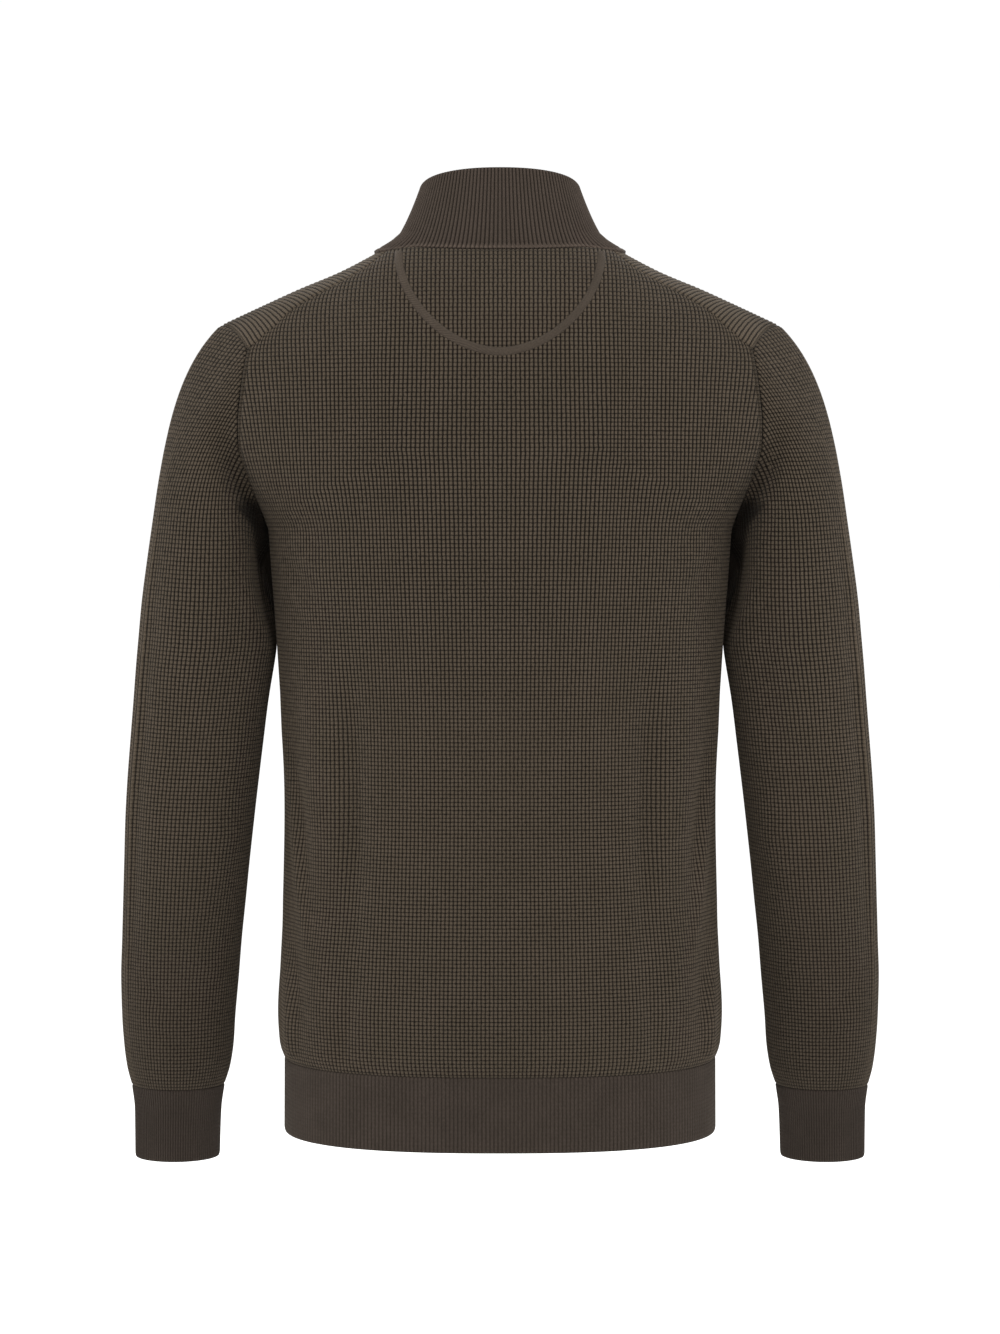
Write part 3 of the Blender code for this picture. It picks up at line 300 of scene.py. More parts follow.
# Opening between the sleeve's back half and the body's side
WEDGE = table(
    "height width",
    (-0.335, 0),
    (-0.302, 0.003),
    (-0.27, 0.0085),
    (-0.24, 0.0105),
    (-0.2165, 0.009),
    (-0.2, 0.005),
    (-0.19, 0),
)

# Folds and creases: each runs from one end to the other, and its height is out of the cloth.
# The first rows are the folds that the solids have too, and the others are finer creases.
BACK_FOLDS = table(
    "start_x start_z end_x end_z width height",
    (0.112, -0.3, 0.112, -0.58, 0.02, -0.0045),
    (0.138, -0.29, 0.136, -0.5, 0.017, 0.004),
    (0.16, -0.37, 0.147, -0.5, 0.009, -0.003),
    (0.163, -0.5, 0.153, -0.6, 0.01, -0.003),
    (0.112, -0.29, 0.109, -0.56, 0.008, -0.0038),
    (0.109, -0.54, 0.123, -0.64, 0.008, -0.003),
    (0.126, -0.3, 0.123, -0.52, 0.007, 0.0022),
    (0.1668, -0.34, 0.148, -0.54, 0.0036, 0.0036),
    (0.16, -0.35, 0.14, -0.54, 0.0065, -0.002),
    (0.1668, -0.5, 0.156, -0.67, 0.0038, 0.0034),
    (0.16, -0.505, 0.148, -0.66, 0.0065, -0.0018),
    (0.14, -0.33, 0.13, -0.47, 0.007, 0.0014),
    (0.13, -0.5, 0.138, -0.6, 0.008, 0.0016),
    (0.07, -0.5, 0.082, -0.63, 0.012, -0.0012),
    (0.166, -0.23, 0.14, -0.275, 0.007, -0.002),
    (0.168, -0.262, 0.145, -0.3, 0.0065, -0.0016),
    (0.16, -0.205, 0.125, -0.24, 0.01, -0.0014),
)
FRONT_FOLDS = table(
    "start_x start_z end_x end_z width height",
    (0.105, -0.27, 0.11, -0.56, 0.022, -0.0045),
    (0.135, -0.3, 0.132, -0.52, 0.018, 0.004),
    (0.157, -0.4, 0.146, -0.54, 0.01, -0.003),
    (0.06, -0.4, 0.066, -0.6, 0.02, -0.003),
    (0.105, -0.3, 0.108, -0.54, 0.008, -0.002),
    (0.165, -0.39, 0.152, -0.52, 0.0045, 0.0026),
    (0.164, -0.54, 0.156, -0.635, 0.0045, 0.0024),
    (0.166, -0.228, 0.132, -0.285, 0.008, -0.0022),
    (0.162, -0.2, 0.12, -0.235, 0.01, -0.0016),
    (0.068, -0.47, 0.056, -0.62, 0.01, -0.0014),
)
SLEEVE_FOLDS = table(
    "start_turn start_z end_turn end_z width height",
    (128, -0.2, 118, -0.4, 22, -0.004),
    (60, -0.33, 105, -0.45, 26, -0.003),
    (150, -0.42, 95, -0.52, 24, 0.003),
    (235, -0.21, 245, -0.42, 24, -0.004),
    (300, -0.36, 255, -0.48, 26, -0.003),
    (60, -0.545, 120, -0.58, 30, -0.0025),
    (300, -0.56, 240, -0.595, 30, -0.0025),
    (31, -0.15, 31, -0.64, 4.5, 0.003),
    (41, -0.2, 40, -0.6, 7, -0.0014),
    (19, -0.24, 20, -0.6, 6, -0.0018),
    (140, -0.36, 70, -0.4, 9, -0.0016),
    (150, -0.46, 85, -0.43, 9, 0.0014),
    (40, -0.56, 110, -0.6, 8, -0.0018),
    (50, -0.6, 130, -0.625, 7, -0.0016),
    (150, -0.56, 90, -0.545, 9, 0.0014),
    (340, -0.32, 335, -0.52, 6, 0.0022),
    (230, -0.33, 290, -0.39, 9, -0.0018),
    (250, -0.6, 320, -0.62, 8, -0.0016),
)

def value(columns, name, at, key="height"):
    """Smooth value of a table's column, which never overshoots its rows."""
    keys, values = columns[key], columns[name]
    order = np.argsort(keys)
    keys, values = keys[order], values[order]
    step = np.diff(keys)
    slope = np.diff(values) / step
    tangent = np.zeros(len(keys))
    product = slope[:-1] * slope[1:]
    total = np.where(product > 0, slope[:-1] + slope[1:], 1.0)
    tangent[1:-1] = np.where(product > 0, 2 * product / total, 0.0)
    tangent[0], tangent[-1] = slope[0], slope[-1]
    i = np.clip(np.searchsorted(keys, at) - 1, 0, len(step) - 1)
    t = np.clip((at - keys[i]) / step[i], 0, 1)
    rise = values[i + 1] - values[i]
    a = step[i] * tangent[i] - rise
    b = rise - step[i] * tangent[i + 1]
    return values[i] + t * rise + t * (1 - t) * (a * (1 - t) + b * t)


def unit(vectors):
    return vectors / np.maximum(np.linalg.norm(vectors, axis=-1, keepdims=True), 1e-12)


def mixed(first, last, share):
    return first + (last - first) * share


def lengths(path):
    """Length along a path, or along each row of a grid, at every point."""
    steps = np.linalg.norm(np.diff(path, axis=-2), axis=-1)
    return np.concatenate([np.zeros((*steps.shape[:-1], 1)), np.cumsum(steps, axis=-1)], axis=-1)


def lengths_up(grid):
    """Length along each column of a grid, at every point."""
    return lengths(grid.swapaxes(0, 1)).T


def read_at(at, length, values):
    """Columns of values at lengths along a path."""
    return np.stack([np.interp(at, length, column) for column in values.T], axis=1)


def resampled(path, shares, values=None):
    """Values at these shares of a path's length, by default its points."""
    length = lengths(path)
    return read_at(np.asarray(shares) * length[-1], length, path if values is None else values)


def mirrored(points):
    return points * np.array((-1, 1, 1))


def both_sides(points, closed=False):
    """A left piece's grid, and the right one's in the same order of rows and columns."""
    other = mirrored(points)[:, ::-1]
    return ("left", 1, points), ("right", -1, np.roll(other, 1, axis=1) if closed else other)


def smooth_step(low, high, at):
    """Rises smoothly from nothing at low to one at high, which may be the smaller."""
    t = np.clip((at - low) / (high - low), 0, 1)
    return t * t * (3 - 2 * t)


def row_shares(length):
    """Shares of a length for rows, which lie closer at both of its ends."""
    near = EDGE_STEPS / length
    count = max(2, round(length * (1 - 2 * near[-1]) / ROW_STEP))
    middle = np.linspace(near[-1], 1 - near[-1], count)
    return np.concatenate([near[:-1], middle, 1 - near[:-1][::-1]])


# The body's surface


def half_width(z):
    return value(TORSO, "half_width", z)


def panel_edge(z, side):
    """Half width of a panel: the torso's, and above the underarm out to the armhole."""
    return np.where(z > UNDERARM, value(ARMHOLE, side, z), half_width(z))


def ridge_height(x):
    return value(RIDGE, "height", x, "across")


def seam_height(x):
    return value(SHOULDER_SEAM, "height", x, "across")


def depth(x, z, side):
    """How far the plain surface lies from the middle plane, towards the back or the front."""
    closing, power = BACK_CLOSING if side == "back" else FRONT_CLOSING
    full = value(TORSO, side + "_depth", z)
    reach = np.clip(np.abs(x) / half_width(z), 0, 1)
    fall = np.clip((ridge_height(np.abs(x)) - z) / closing, 0, 1)
    closed = (1 - (1 - fall) ** power) ** (1 / power)
    return full * (1 - reach**TORSO_CURVE) ** (1 / TORSO_CURVE) * closed


def body_point(x, z, side):
    sign = 1 if side == "back" else -1
    x, z = np.broadcast_arrays(np.asarray(x, float), np.asarray(z, float))
    return np.stack([x, sign * depth(x, z, side), z], axis=-1)


def fold_height(across, z, folds):
    """Height of a table's folds at a place: each is round across and fades out at its ends."""
    total = np.zeros(np.shape(across))
    for start, start_z, end, end_z, width, height in zip(*folds.values()):
        run = np.array((end - start, end_z - start_z))
        along = ((across - start) * run[0] + (z - start_z) * run[1]) / (run @ run)
        off = ((across - start) * run[1] - (z - start_z) * run[0]) / math.hypot(*run)
        fade = np.sin(np.clip(1 - np.abs(along - 0.5) * 2, 0, 1) * math.pi / 2) ** FOLD_FADE
        total = total + height * fade * np.exp(-((off / width) ** 2))
    return total


def sleeve_folds(turn, z):
    folds = dict(SLEEVE_FOLDS)
    for name in ("start_turn", "end_turn", "width"):
        folds[name] = folds[name] * METRES_PER_DEGREE
    return fold_height(turn * METRES_PER_DEGREE, z, folds)


def back_neck_height(x):
    return mixed(BACK_NECK_HEIGHT, NECK_SEAM_HEIGHT, (np.abs(x) / NECK_SEAM_X) ** 2)


def front_neck(share):
    """Neck edge of a front: from the zip to the ridge, and on to the seam behind it."""
    if share <= RIDGE_SHARE:
        turn = share / RIDGE_SHARE * math.pi / 2
        x = NECK_HALF_WIDTH * math.sin(turn) ** (2 / NECK_CURVE)
        drop = NECK_SIDE_HEIGHT - FRONT_NECK_HEIGHT
        z = NECK_SIDE_HEIGHT - drop * math.cos(turn) ** (2 / NECK_CURVE)
        return max(x, FRONT_EDGE), z, "front"
    past = (share - RIDGE_SHARE) / (1 - RIDGE_SHARE)
    x = mixed(NECK_HALF_WIDTH, NECK_SEAM_X, past)
    return x, mixed(NECK_SIDE_HEIGHT, NECK_SEAM_HEIGHT, past**2), "back"


def over_the_ridge(ridge_x, seam_x, shares):
    """From the ridge down to the shoulder seam behind it."""
    x = mixed(ridge_x, seam_x, shares)
    return x, mixed(ridge_height(ridge_x), seam_height(seam_x), shares**2)


# Grids of the panels


def grid_normals(grid, centre, closed=False):
    """Normals of a grid, turned away from a centre."""
    if closed:
        along = np.roll(grid, -1, axis=1) - np.roll(grid, 1, axis=1)
    else:
        along = np.gradient(grid, axis=1)
    normals = unit(np.cross(np.gradient(grid, axis=0), along))
    away = np.sum(normals * (grid - np.array(centre)), axis=-1).mean()
    return normals if away > 0 else -normals


def seam_distances(points):
    """Distance of each point to the first and last row, and to the first and last column."""
    across, up = lengths(points), lengths_up(points)
    return up, up[-1:] - up, across, across[:, -1:] - across


def folded(points, centre, lift):
    """A panel with its folds, which start inside its edges, and the valley behind the arm."""
    lift = lift * smooth_step(0, FOLD_MARGIN, np.minimum.reduce(seam_distances(points)))
    return in_valley(points + grid_normals(points, centre) * lift[..., None])


def back_heights():
    return mixed(HEM_TOP, SEAM_END_HEIGHT, row_shares(SEAM_END_HEIGHT - HEM_TOP))


def back_grid():
    """The whole back from the right side to the left, in rows from the hem up.

    Wales keep their distance from the middle, and the outermost of them end along the armhole.
    """
    trial = np.linspace(0, 1, 700)
    tops_x = trial * SEAM_END_X
    seam = seam_height(np.maximum(tops_x, NECK_SEAM_X))
    tops = np.where(tops_x <= NECK_SEAM_X, back_neck_height(tops_x), seam)
    rise = (tops - HEM_TOP) / (SEAM_END_HEIGHT - HEM_TOP)
    heights = back_heights()
    wale = np.arange(BACK_WALES * STEPS_PER_WALE + 1) / STEPS_PER_WALE
    at_underarm = HEM_TOP + (UNDERARM - HEM_TOP) * rise
    widest = body_point(half_width(UNDERARM) * trial, at_underarm, "back")
    whole_pitch = lengths(widest)[-1] / BACK_WALES
    rows = []
    for height, half in zip(heights, panel_edge(heights, "back")):
        path = body_point(half * trial, HEM_TOP + (height - HEM_TOP) * rise, "back")
        length = lengths(path)
        seen = smooth_step(UNDERARM, UNDERARM + 0.13, height)
        measure = mixed(length, path[:, 0], 0.75 * seen)
        pitch = measure[-1] / BACK_WALES
        if height > UNDERARM:
            pitch = max(pitch, mixed(whole_pitch, value(BACK_PITCH, "pitch", height), seen))
        whole = measure[-1] / pitch
        last = max(whole - 1.2, whole * 0.98) if whole < BACK_WALES - 0.01 else BACK_WALES
        past = (wale - last) / max(BACK_WALES - last, 1e-9)
        at = np.where(wale <= last, wale * pitch, mixed(last * pitch, measure[-1], past))
        rows.append(resampled(path, np.interp(at, measure, length) / length[-1]))
    half = np.array(rows)
    points = np.concatenate([mirrored(half)[:, ::-1], half[:, 1:]], axis=1)
    lift = fold_height(np.abs(points[..., 0]), points[..., 2], BACK_FOLDS)
    return folded(points, BACK_CENTRE, lift)


def neck_column_top(place):
    """Where a front's column that ends at the neck turns in to, its lower share and its end.

    Columns stay straight up to the neck's edge, and the last few cross the ridge beside it.
    """
    low_share = place * (NECK_SEAM_X - FRONT_EDGE) / (SEAM_END_X - FRONT_EDGE)
    if place <= STRAIGHT_PLACES:
        x = mixed(FRONT_EDGE, NECK_HALF_WIDTH, place / STRAIGHT_PLACES)
        turn = math.asin(min(1.0, (x / NECK_HALF_WIDTH) ** (NECK_CURVE / 2)))
        end_x, end_z, _ = front_neck(RIDGE_SHARE * turn / (math.pi / 2))
        return end_x, end_z, low_share, None
    past = (place - STRAIGHT_PLACES) / (1 - STRAIGHT_PLACES)
    end_x, end_z, _ = front_neck(mixed(RIDGE_SHARE, 1, past))
    crest_x = mixed(NECK_HALF_WIDTH, RIDGE_START_X, past)
    crest = float(ridge_height(crest_x))
    over = mixed(crest_x, end_x, OVER_SHARES), mixed(crest, end_z, OVER_SHARES**2)
    return crest_x, crest, low_share, over


def shoulder_column_top(low_share, seam_x):
    """The same for a column that crosses the ridge and ends at the shoulder seam."""
    share = (seam_x - NECK_SEAM_X) / (SEAM_END_X - NECK_SEAM_X)
    ridge_x = mixed(RIDGE_START_X, TIP_X, share)
    return ridge_x, ridge_height(ridge_x), low_share, over_the_ridge(ridge_x, seam_x, OVER_SHARES)


def front_column(top_x, top_z, low_share, over):
    """Path of one column of a front with its folds, over the ridge if it goes on."""
    z = mixed(HEM_TOP, top_z, 1 - (1 - np.linspace(0, 1, 240)) ** 1.8)
    x = FRONT_EDGE + (panel_edge(np.minimum(z, TIP_HEIGHT), "front") - FRONT_EDGE) * low_share
    turn_in = np.clip((z - TURN_IN_START) / (top_z - TURN_IN_START), 0, 1)
    x = x + (top_x - x[-1]) * turn_in**2 * (3 - 2 * turn_in)
    points, folds = body_point(x, z, "front"), fold_height(np.abs(x), z, FRONT_FOLDS)
    if over:
        points = np.concatenate([points, body_point(*over, "back")])
        folds = np.concatenate([folds, np.zeros(len(over[0]))])
    return points, folds


def front_side():
    """A front's side from the hem over the shoulder to its seam, and the rows' shares of it."""
    heights = np.linspace(HEM_TOP, TIP_HEIGHT, 260)
    side = body_point(panel_edge(heights, "front"), heights, "front")
    over = body_point(*over_the_ridge(TIP_X, SEAM_END_X, OVER_SHARES), "back")
    path = np.concatenate([side, over])
    return path, row_shares(lengths(path)[-1])


def front_grid():
    """Left front, from the zip to the side, in rows from the hem over the shoulder."""
    outermost, shares = front_side()
    low = body_point(np.linspace(FRONT_EDGE, 0.1712, 400), -0.35, "front")
    reach = lengths(low)
    wales = round(reach[-1] / FRONT_WALE_PITCH)
    places = np.linspace(0, 1, wales * STEPS_PER_WALE + 1)
    low_x = np.interp(places * reach[-1], reach, low[:, 0])
    low_shares = (low_x - FRONT_EDGE) / (low_x[-1] - FRONT_EDGE)
    neck_limit = (NECK_SEAM_X - FRONT_EDGE) / (SEAM_END_X - FRONT_EDGE)
    seam = np.linspace(NECK_SEAM_X, SEAM_END_X, 300)
    first = int(np.searchsorted(low_shares, neck_limit))
    even = (np.arange(len(low_shares)) - first) / (len(low_shares) - 1 - first)
    even = np.interp(even, (0, SHOULDER_WALES, 1), (0, 0.985, 1))
    seam_x = resampled(body_point(seam, seam_height(seam), "back"), even)[:, 0]
    columns, lifts = [], []
    for number, low_share in enumerate(low_shares[:-1]):
        if number < first:
            top = neck_column_top(low_share / low_shares[first])
        else:
            top = shoulder_column_top(low_share, float(seam_x[number]))
        path, folds = front_column(*top)
        columns.append(resampled(path, shares))
        lifts.append(resampled(path, shares, folds[:, None])[:, 0])
    points = np.stack(columns + [resampled(outermost, shares)], axis=1)
    return folded(points, FRONT_CENTRE, np.stack(lifts + [np.zeros(len(shares))], axis=1))


def front_neck_path():
    past = np.linspace(RIDGE_SHARE, 1, 20)[1:]
    shares = np.concatenate([np.linspace(0, RIDGE_SHARE, 160), past])
    return np.array([body_point(*front_neck(share)) for share in shares])


def collar_top(shares):
    """Top edge of the collar's left half, from the zip round to the middle of the back."""
    turn = np.linspace(0, math.pi, 1200)
    power = 2 / NECK_CURVE
    x = COLLAR_HALF_WIDTH * np.sin(turn) ** power
    deep = np.where(turn < math.pi / 2, -COLLAR_FRONT_DEPTH, COLLAR_BACK_DEPTH)
    y = deep * np.abs(np.cos(turn)) ** power
    z = COLLAR_SIDE_HEIGHT + COLLAR_BACK_SLOPE * y
    z = z - np.where(y < 0, COLLAR_FRONT_DROP * (y / COLLAR_FRONT_DEPTH) ** 2, 0)
    path = np.stack([x, y, z], axis=1)
    path = path[(x >= FRONT_EDGE) | (turn > math.pi / 2)]
    path = np.concatenate([[[FRONT_EDGE, *path[0, 1:]]], path])
    path[-1, 0] = 0
    return resampled(path, shares)


def collar_grid():
    """Whole collar, from the right front edge round the back to the left one."""
    back_x = np.linspace(NECK_SEAM_X, 0, 160)[1:]
    edge = np.concatenate([front_neck_path(), body_point(back_x, back_neck_height(back_x), "back")])
    ribs = round(lengths(edge)[-1] / COLLAR_RIB_PITCH)
    places = np.linspace(0, 1, ribs * STEPS_PER_RIB + 1)
    left, top = resampled(edge, places), collar_top(places)
    x, behind = left[:, 0], left[:, 1] > 0
    beside = np.where(behind, smooth_step(0.062, 0.083, x), smooth_step(0.050, 0.084, x))
    outside = unit(left * np.array((1, 0.25, 0)))
    rows = []
    for share in row_shares(COLLAR_HEIGHT):
        flat = mixed(left[:, :2], top[:, :2], share**COLLAR_FLARE)
        height = mixed(left[:, 2], top[:, 2], share)
        flare = beside * max(0.0, 1 - share / FLARE_SHARE) ** 1.5
        row = np.concatenate([flat, height[:, None]], axis=1)
        row = row + outside * (FLARE_OUT * flare)[:, None]
        row[:, 2] += FLARE_UP * flare
        rows.append(row)
    half = np.array(rows)
    half[:, 0, 0] = FRONT_EDGE
    return np.concatenate([mirrored(half), half[:, ::-1][:, 1:]], axis=1)


def tube_point(columns, turns, z):
    """Point on a sleeve or cuff section at a turn, in degrees."""
    outer, inner = value(columns, "outer", z), value(columns, "inner", z)
    centre, half = (outer + inner) / 2, (outer - inner) / 2
    angle = np.radians(turns)
    x = centre + half * np.cos(angle)
    y = value(columns, "middle", z) + value(columns, "half_depth", z) * np.sin(angle)
    return np.stack(np.broadcast_arrays(x, y, z), axis=-1)


def armhole_halves():
    """The armhole's edge from the tip of the shoulder to the underarm, behind and in front."""
    over = body_point(*over_the_ridge(TIP_X, SEAM_END_X, np.linspace(0, 1, 40)), "back")
    heights = back_heights()
    behind = heights[np.searchsorted(heights, UNDERARM) - 1 :][::-1]
    back = body_point(panel_edge(behind, "back"), behind, "back")
    edge = resampled(*front_side())
    lowest = np.searchsorted(edge[: len(edge) // 2, 2], UNDERARM) - 1
    before = edge[lowest : int(edge[:, 2].argmax())][::-1]
    return np.concatenate([over, back[1:]]), np.concatenate([over[:1], before])


def beside_the_body(points):
    """The sleeve pressed against the body's side, with a dark wedge open between them behind."""
    x, y, z = points[..., 0], points[..., 1], points[..., 2]
    away = smooth_step(0.004, 0.030, lengths_up(points))
    wedge = value(WEDGE, "width", z) * smooth_step(-0.016, 0.014, y) * away
    half = half_width(z)
    full = np.where(y > 0, value(TORSO, "back_depth", z), value(TORSO, "front_depth", z))
    body = half * (1 - np.clip(np.abs(y) / full, 0, 1) ** TORSO_CURVE) ** (1 / TORSO_CURVE)
    below = np.clip((UNDERARM - z - 0.006) / 0.030, 0, 1)
    body = np.where(y > 0, mixed(body, half, smooth_step(0.0, 0.004, wedge)), body)
    limit = body - 0.0003 + SIDE_CLEARANCE * below + wedge
    reach = 0.0004 + 0.25 * wedge
    over = (x - limit) / reach
    soft = limit + reach * np.log1p(np.exp(np.clip(over, -40, 40)))
    pressed = np.where(over > 30, x, soft)
    x = mixed(x, np.maximum(pressed, x), smooth_step(-0.014, -0.002, UNDERARM - z))
    return np.stack([x, y, z], axis=-1)


def painted_wedge_shade(points):
    """How much shade of the wedge is painted on the sleeve's points, as metres below a seam."""
    x, y, z = np.abs(points[..., 0]), points[..., 1], points[..., 2]
    open_share = np.clip(value(WEDGE, "width", z) / 0.006, 0, 1)
    beside = smooth_step(0.0150, 0.0085, x - half_width(z))
    return 0.06 * open_share * beside * smooth_step(-0.045, -0.020, y)


def in_valley(points):
    """The points behind the arm, sunk into the soft valley between the body and the sleeve."""
    x, y, z = np.abs(points[..., 0]), points[..., 1], points[..., 2]
    off = (x - value(VALLEY, "across", z)) / value(VALLEY, "width", z)
    sunk = value(VALLEY, "depth", z) * np.exp(-(off**2)) * smooth_step(0.0, 0.045, y)
    return points - np.array((0, 1, 0)) * sunk[..., None]


def sleeve_grid():
    """Left sleeve, in rows from the armhole down and columns from its outer side by the back."""
    count = SLEEVE_WALES * STEPS_PER_WALE
    turns = np.arange(count) * 360 / count
    back, front = armhole_halves()
    behind = resampled(back, turns[turns <= 180] / 180)
    loop = np.concatenate([behind, resampled(front, (360 - turns[turns > 180]) / 180)])
    lean = (1 + np.cos(np.radians(turns))) / 2
    cap_end = mixed(CAP_END_INNER, CAP_END_OUTER, lean)
    end, below = tube_point(SLEEVE, turns, cap_end), tube_point(SLEEVE, turns, cap_end - 0.004)
    reach = np.linalg.norm(end - loop, axis=1)[:, None]
    arriving = unit(below - end) * reach
    side = np.abs(np.sin(np.radians(turns)))[:, None]
    across, upwards = (value(CAP_LEAVING, name, lean, "place") for name in ("across", "upwards"))
    leaving = np.stack([across, np.zeros(count), upwards], axis=1)
    leaving = mixed(leaving, np.array(CAP_SIDE_LEAVING), side) * reach
    rows = []
    for t in np.concatenate([EDGE_STEPS / CAP_LENGTH, np.linspace(0.12, 1, 24)]):
        row = (2 * t**3 - 3 * t**2 + 1) * loop + (t**3 - 2 * t**2 + t) * leaving
        rows.append(row + (3 * t**2 - 2 * t**3) * end + (t**3 - t**2) * arriving)
    for share in row_shares(CAP_END_INNER - SLEEVE_END)[len(EDGE_STEPS) :]:
        rows.append(tube_point(SLEEVE, turns, mixed(cap_end, SLEEVE_END, share)))
    points = beside_the_body(np.array(rows))
    down = lengths_up(points)
    inside = smooth_step(0, FOLD_MARGIN, np.minimum(down, down[-1:] - down))
    folds = sleeve_folds(np.broadcast_to(turns, points.shape[:2]), points[..., 2])
    normals = grid_normals(points, SLEEVE_CENTRE, True)
    return in_valley(points + normals * (folds * inside)[..., None])


def drawn_back(points, closed=False):
    """The points with the edges drawn back by half of a seam's gap."""
    points = points.copy()
    for row, beside in ((0, 1), (-1, -2)):
        points[row] += unit(points[beside] - points[row]) * HALF_GAP
    if not closed:
        for column, beside in ((0, 1), (-1, -2)):
            points[:, column] += unit(points[:, beside] - points[:, column]) * HALF_GAP
    return points


# Shells


def add_object(name, data):
    made = bpy.data.objects.new(name, data)
    bpy.context.scene.collection.objects.link(made)
    return made


def quads(ids, closed):
    """Quads of a grid of point numbers."""
    if closed:
        ids = np.concatenate([ids, ids[:, :1]], axis=1)
    corners = [ids[:-1, :-1], ids[:-1, 1:], ids[1:, 1:], ids[1:, :-1]]
    return np.stack(corners, axis=-1).reshape(-1, 4)


def strip(upper, lower, upper_at, lower_at):
    """Triangles between two rows of point numbers, each with its places along them."""
    faces = []
    i = j = 0
    while i < len(upper) - 1 or j < len(lower) - 1:
        upper_next = upper_at[i + 1] if i < len(upper) - 1 else math.inf
        lower_next = lower_at[j + 1] if j < len(lower) - 1 else math.inf
        if upper_next <= lower_next:
            faces.append((upper[i], upper[i + 1], lower[j]))
            i += 1
        else:
            faces.append((upper[i], lower[j + 1], lower[j]))
            j += 1
    return faces


def thinned(count, step):
    """Every so many of a row's numbers, and always the last."""
    kept = np.arange(0, count, step)
    return kept if kept[-1] == count - 1 else np.append(kept, count - 1)


def shell_mesh(name, points, normals, relief, knit, plainness_and_painted_light, closed, wall, steps):
    """A thin closed cloth: a fine outer face with its relief, and a coarser plain inner face.

    knit has each point's place counted in wales and courses, and the other values how plain the
    knit is there or how much highlight is painted on it, and how far the nearest seam lies, for
    painted shade.
    """
    rows, columns = points.shape[:2]
    kept_rows = thinned(rows, steps[0])
    kept_columns = np.arange(0, columns, steps[1]) if closed else thinned(columns, steps[1])
    kept = np.ix_(kept_rows, kept_columns)
    outer, inner = points + normals * relief[..., None], (points - normals * wall)[kept]
    outer_ids = np.arange(rows * columns).reshape(rows, columns)
    inner_ids = outer_ids.size + np.arange(inner.size // 3).reshape(inner.shape[:2])
    edge_faces = []
    for row in (0, -1):
        ring, liner = list(outer_ids[row]), list(inner_ids[row])
        ring_at, liner_at = list(range(columns)), list(kept_columns)
        if closed:
            ring, liner = ring + ring[:1], liner + liner[:1]
            ring_at, liner_at = ring_at + [columns], liner_at + [columns]
        made = strip(ring, liner, ring_at, liner_at)
        edge_faces += [face[::-1] for face in made] if row == 0 else made
    for column in () if closed else (0, -1):
        made = strip(outer_ids[:, column], inner_ids[:, column], range(rows), kept_rows)
        edge_faces += made if column == 0 else [face[::-1] for face in made]
    faces = np.concatenate([quads(outer_ids, closed), quads(inner_ids, closed)[:, ::-1]])
    co = np.concatenate([outer.reshape(-1, 3), inner.reshape(-1, 3)])
    mesh = mesh_of(name, co, faces, edge_faces)
    for label, values in (("knit", knit), ("plainness_and_painted_light", plainness_and_painted_light)):
        values_in = values[:, :columns].reshape(-1, 2), values[kept].reshape(-1, 2)
        wrap = knit[0, columns, 0] if closed and label == "knit" else None
        add_uv(mesh, label, np.concatenate(values_in), wrap)
    return mesh


def mesh_of(name, co, faces, triangles):
    """A smooth mesh of quads and triangles."""
    triangles = np.array(triangles, int).reshape(-1, 3)
    corners = np.concatenate([faces.reshape(-1), triangles.reshape(-1)]).astype(np.int32)
    sizes = np.repeat((4, 3), (len(faces), len(triangles))).astype(np.int32)
    starts = np.concatenate([[0], np.cumsum(sizes)[:-1]]).astype(np.int32)
    mesh = bpy.data.meshes.new(name)
    mesh.vertices.add(len(co))
    mesh.vertices.foreach_set("co", np.asarray(co, np.float32).ravel())
    mesh.loops.add(len(corners))
    mesh.loops.foreach_set("vertex_index", corners)
    mesh.polygons.add(len(sizes))
    mesh.polygons.foreach_set("loop_start", starts)
    mesh.polygons.foreach_set("loop_total", sizes)
    mesh.polygons.foreach_set("use_smooth", np.ones(len(sizes), bool))
    mesh.update(calc_edges=True)
    mesh.validate()
    return mesh


def add_uv(mesh, label, per_point, wrap=None):
    """A UV layer from values at the points. Past the last column of a tube, U goes on to wrap."""
    corners = np.zeros(len(mesh.loops), np.int32)
    mesh.loops.foreach_get("vertex_index", corners)
    uv = per_point[corners].copy()
    if wrap is not None:
        sizes = np.zeros(len(mesh.polygons), np.int32)
        mesh.polygons.foreach_get("loop_total", sizes)
        face = np.repeat(np.arange(len(sizes)), sizes)
        highest = np.zeros(len(sizes))
        np.maximum.at(highest, face, uv[:, 0])
        uv[:, 0] += wrap * ((highest[face] - uv[:, 0]) > wrap / 2)
    layer = mesh.uv_layers.new(name=label)
    layer.data.foreach_set("uv", uv.astype(np.float32).ravel())


def flat_size(points, closed=False):
    """Width, length and area of a cloth laid flat."""
    ring = np.concatenate([points, points[:, :1]], axis=1) if closed else points
    across, up = ring[:-1, 1:] - ring[:-1, :-1], ring[1:, :-1] - ring[:-1, :-1]
    area = float(np.linalg.norm(np.cross(across, up), axis=-1).sum())
    width, length = float(lengths(ring)[:, -1].max()), float(lengths_up(ring)[-1].max())
    return (width, length), min(area, width * length)


def add_piece(name, node, mesh, looks):
    """A piece of the garment that stands for its solid."""
    mesh.materials.append(looks)
    piece = add_object(name, mesh)
    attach(piece, "garment")
    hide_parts(node)
    return piece


def add_cloth(
    name, node, slot, looks, points, normals, relief, knit, plainness_and_painted_light, closed=False,
    rests_on=("back",), held="hung", narrow=None, wall=WALL, steps=INNER_STEPS,
):
    """A cloth piece with its relief."""
    mesh = shell_mesh(name, points, normals, relief, knit, plainness_and_painted_light, closed, wall, steps)
    piece = add_piece(name, node, mesh, looks)
    (width, length), area = flat_size(points, closed)


# Relief


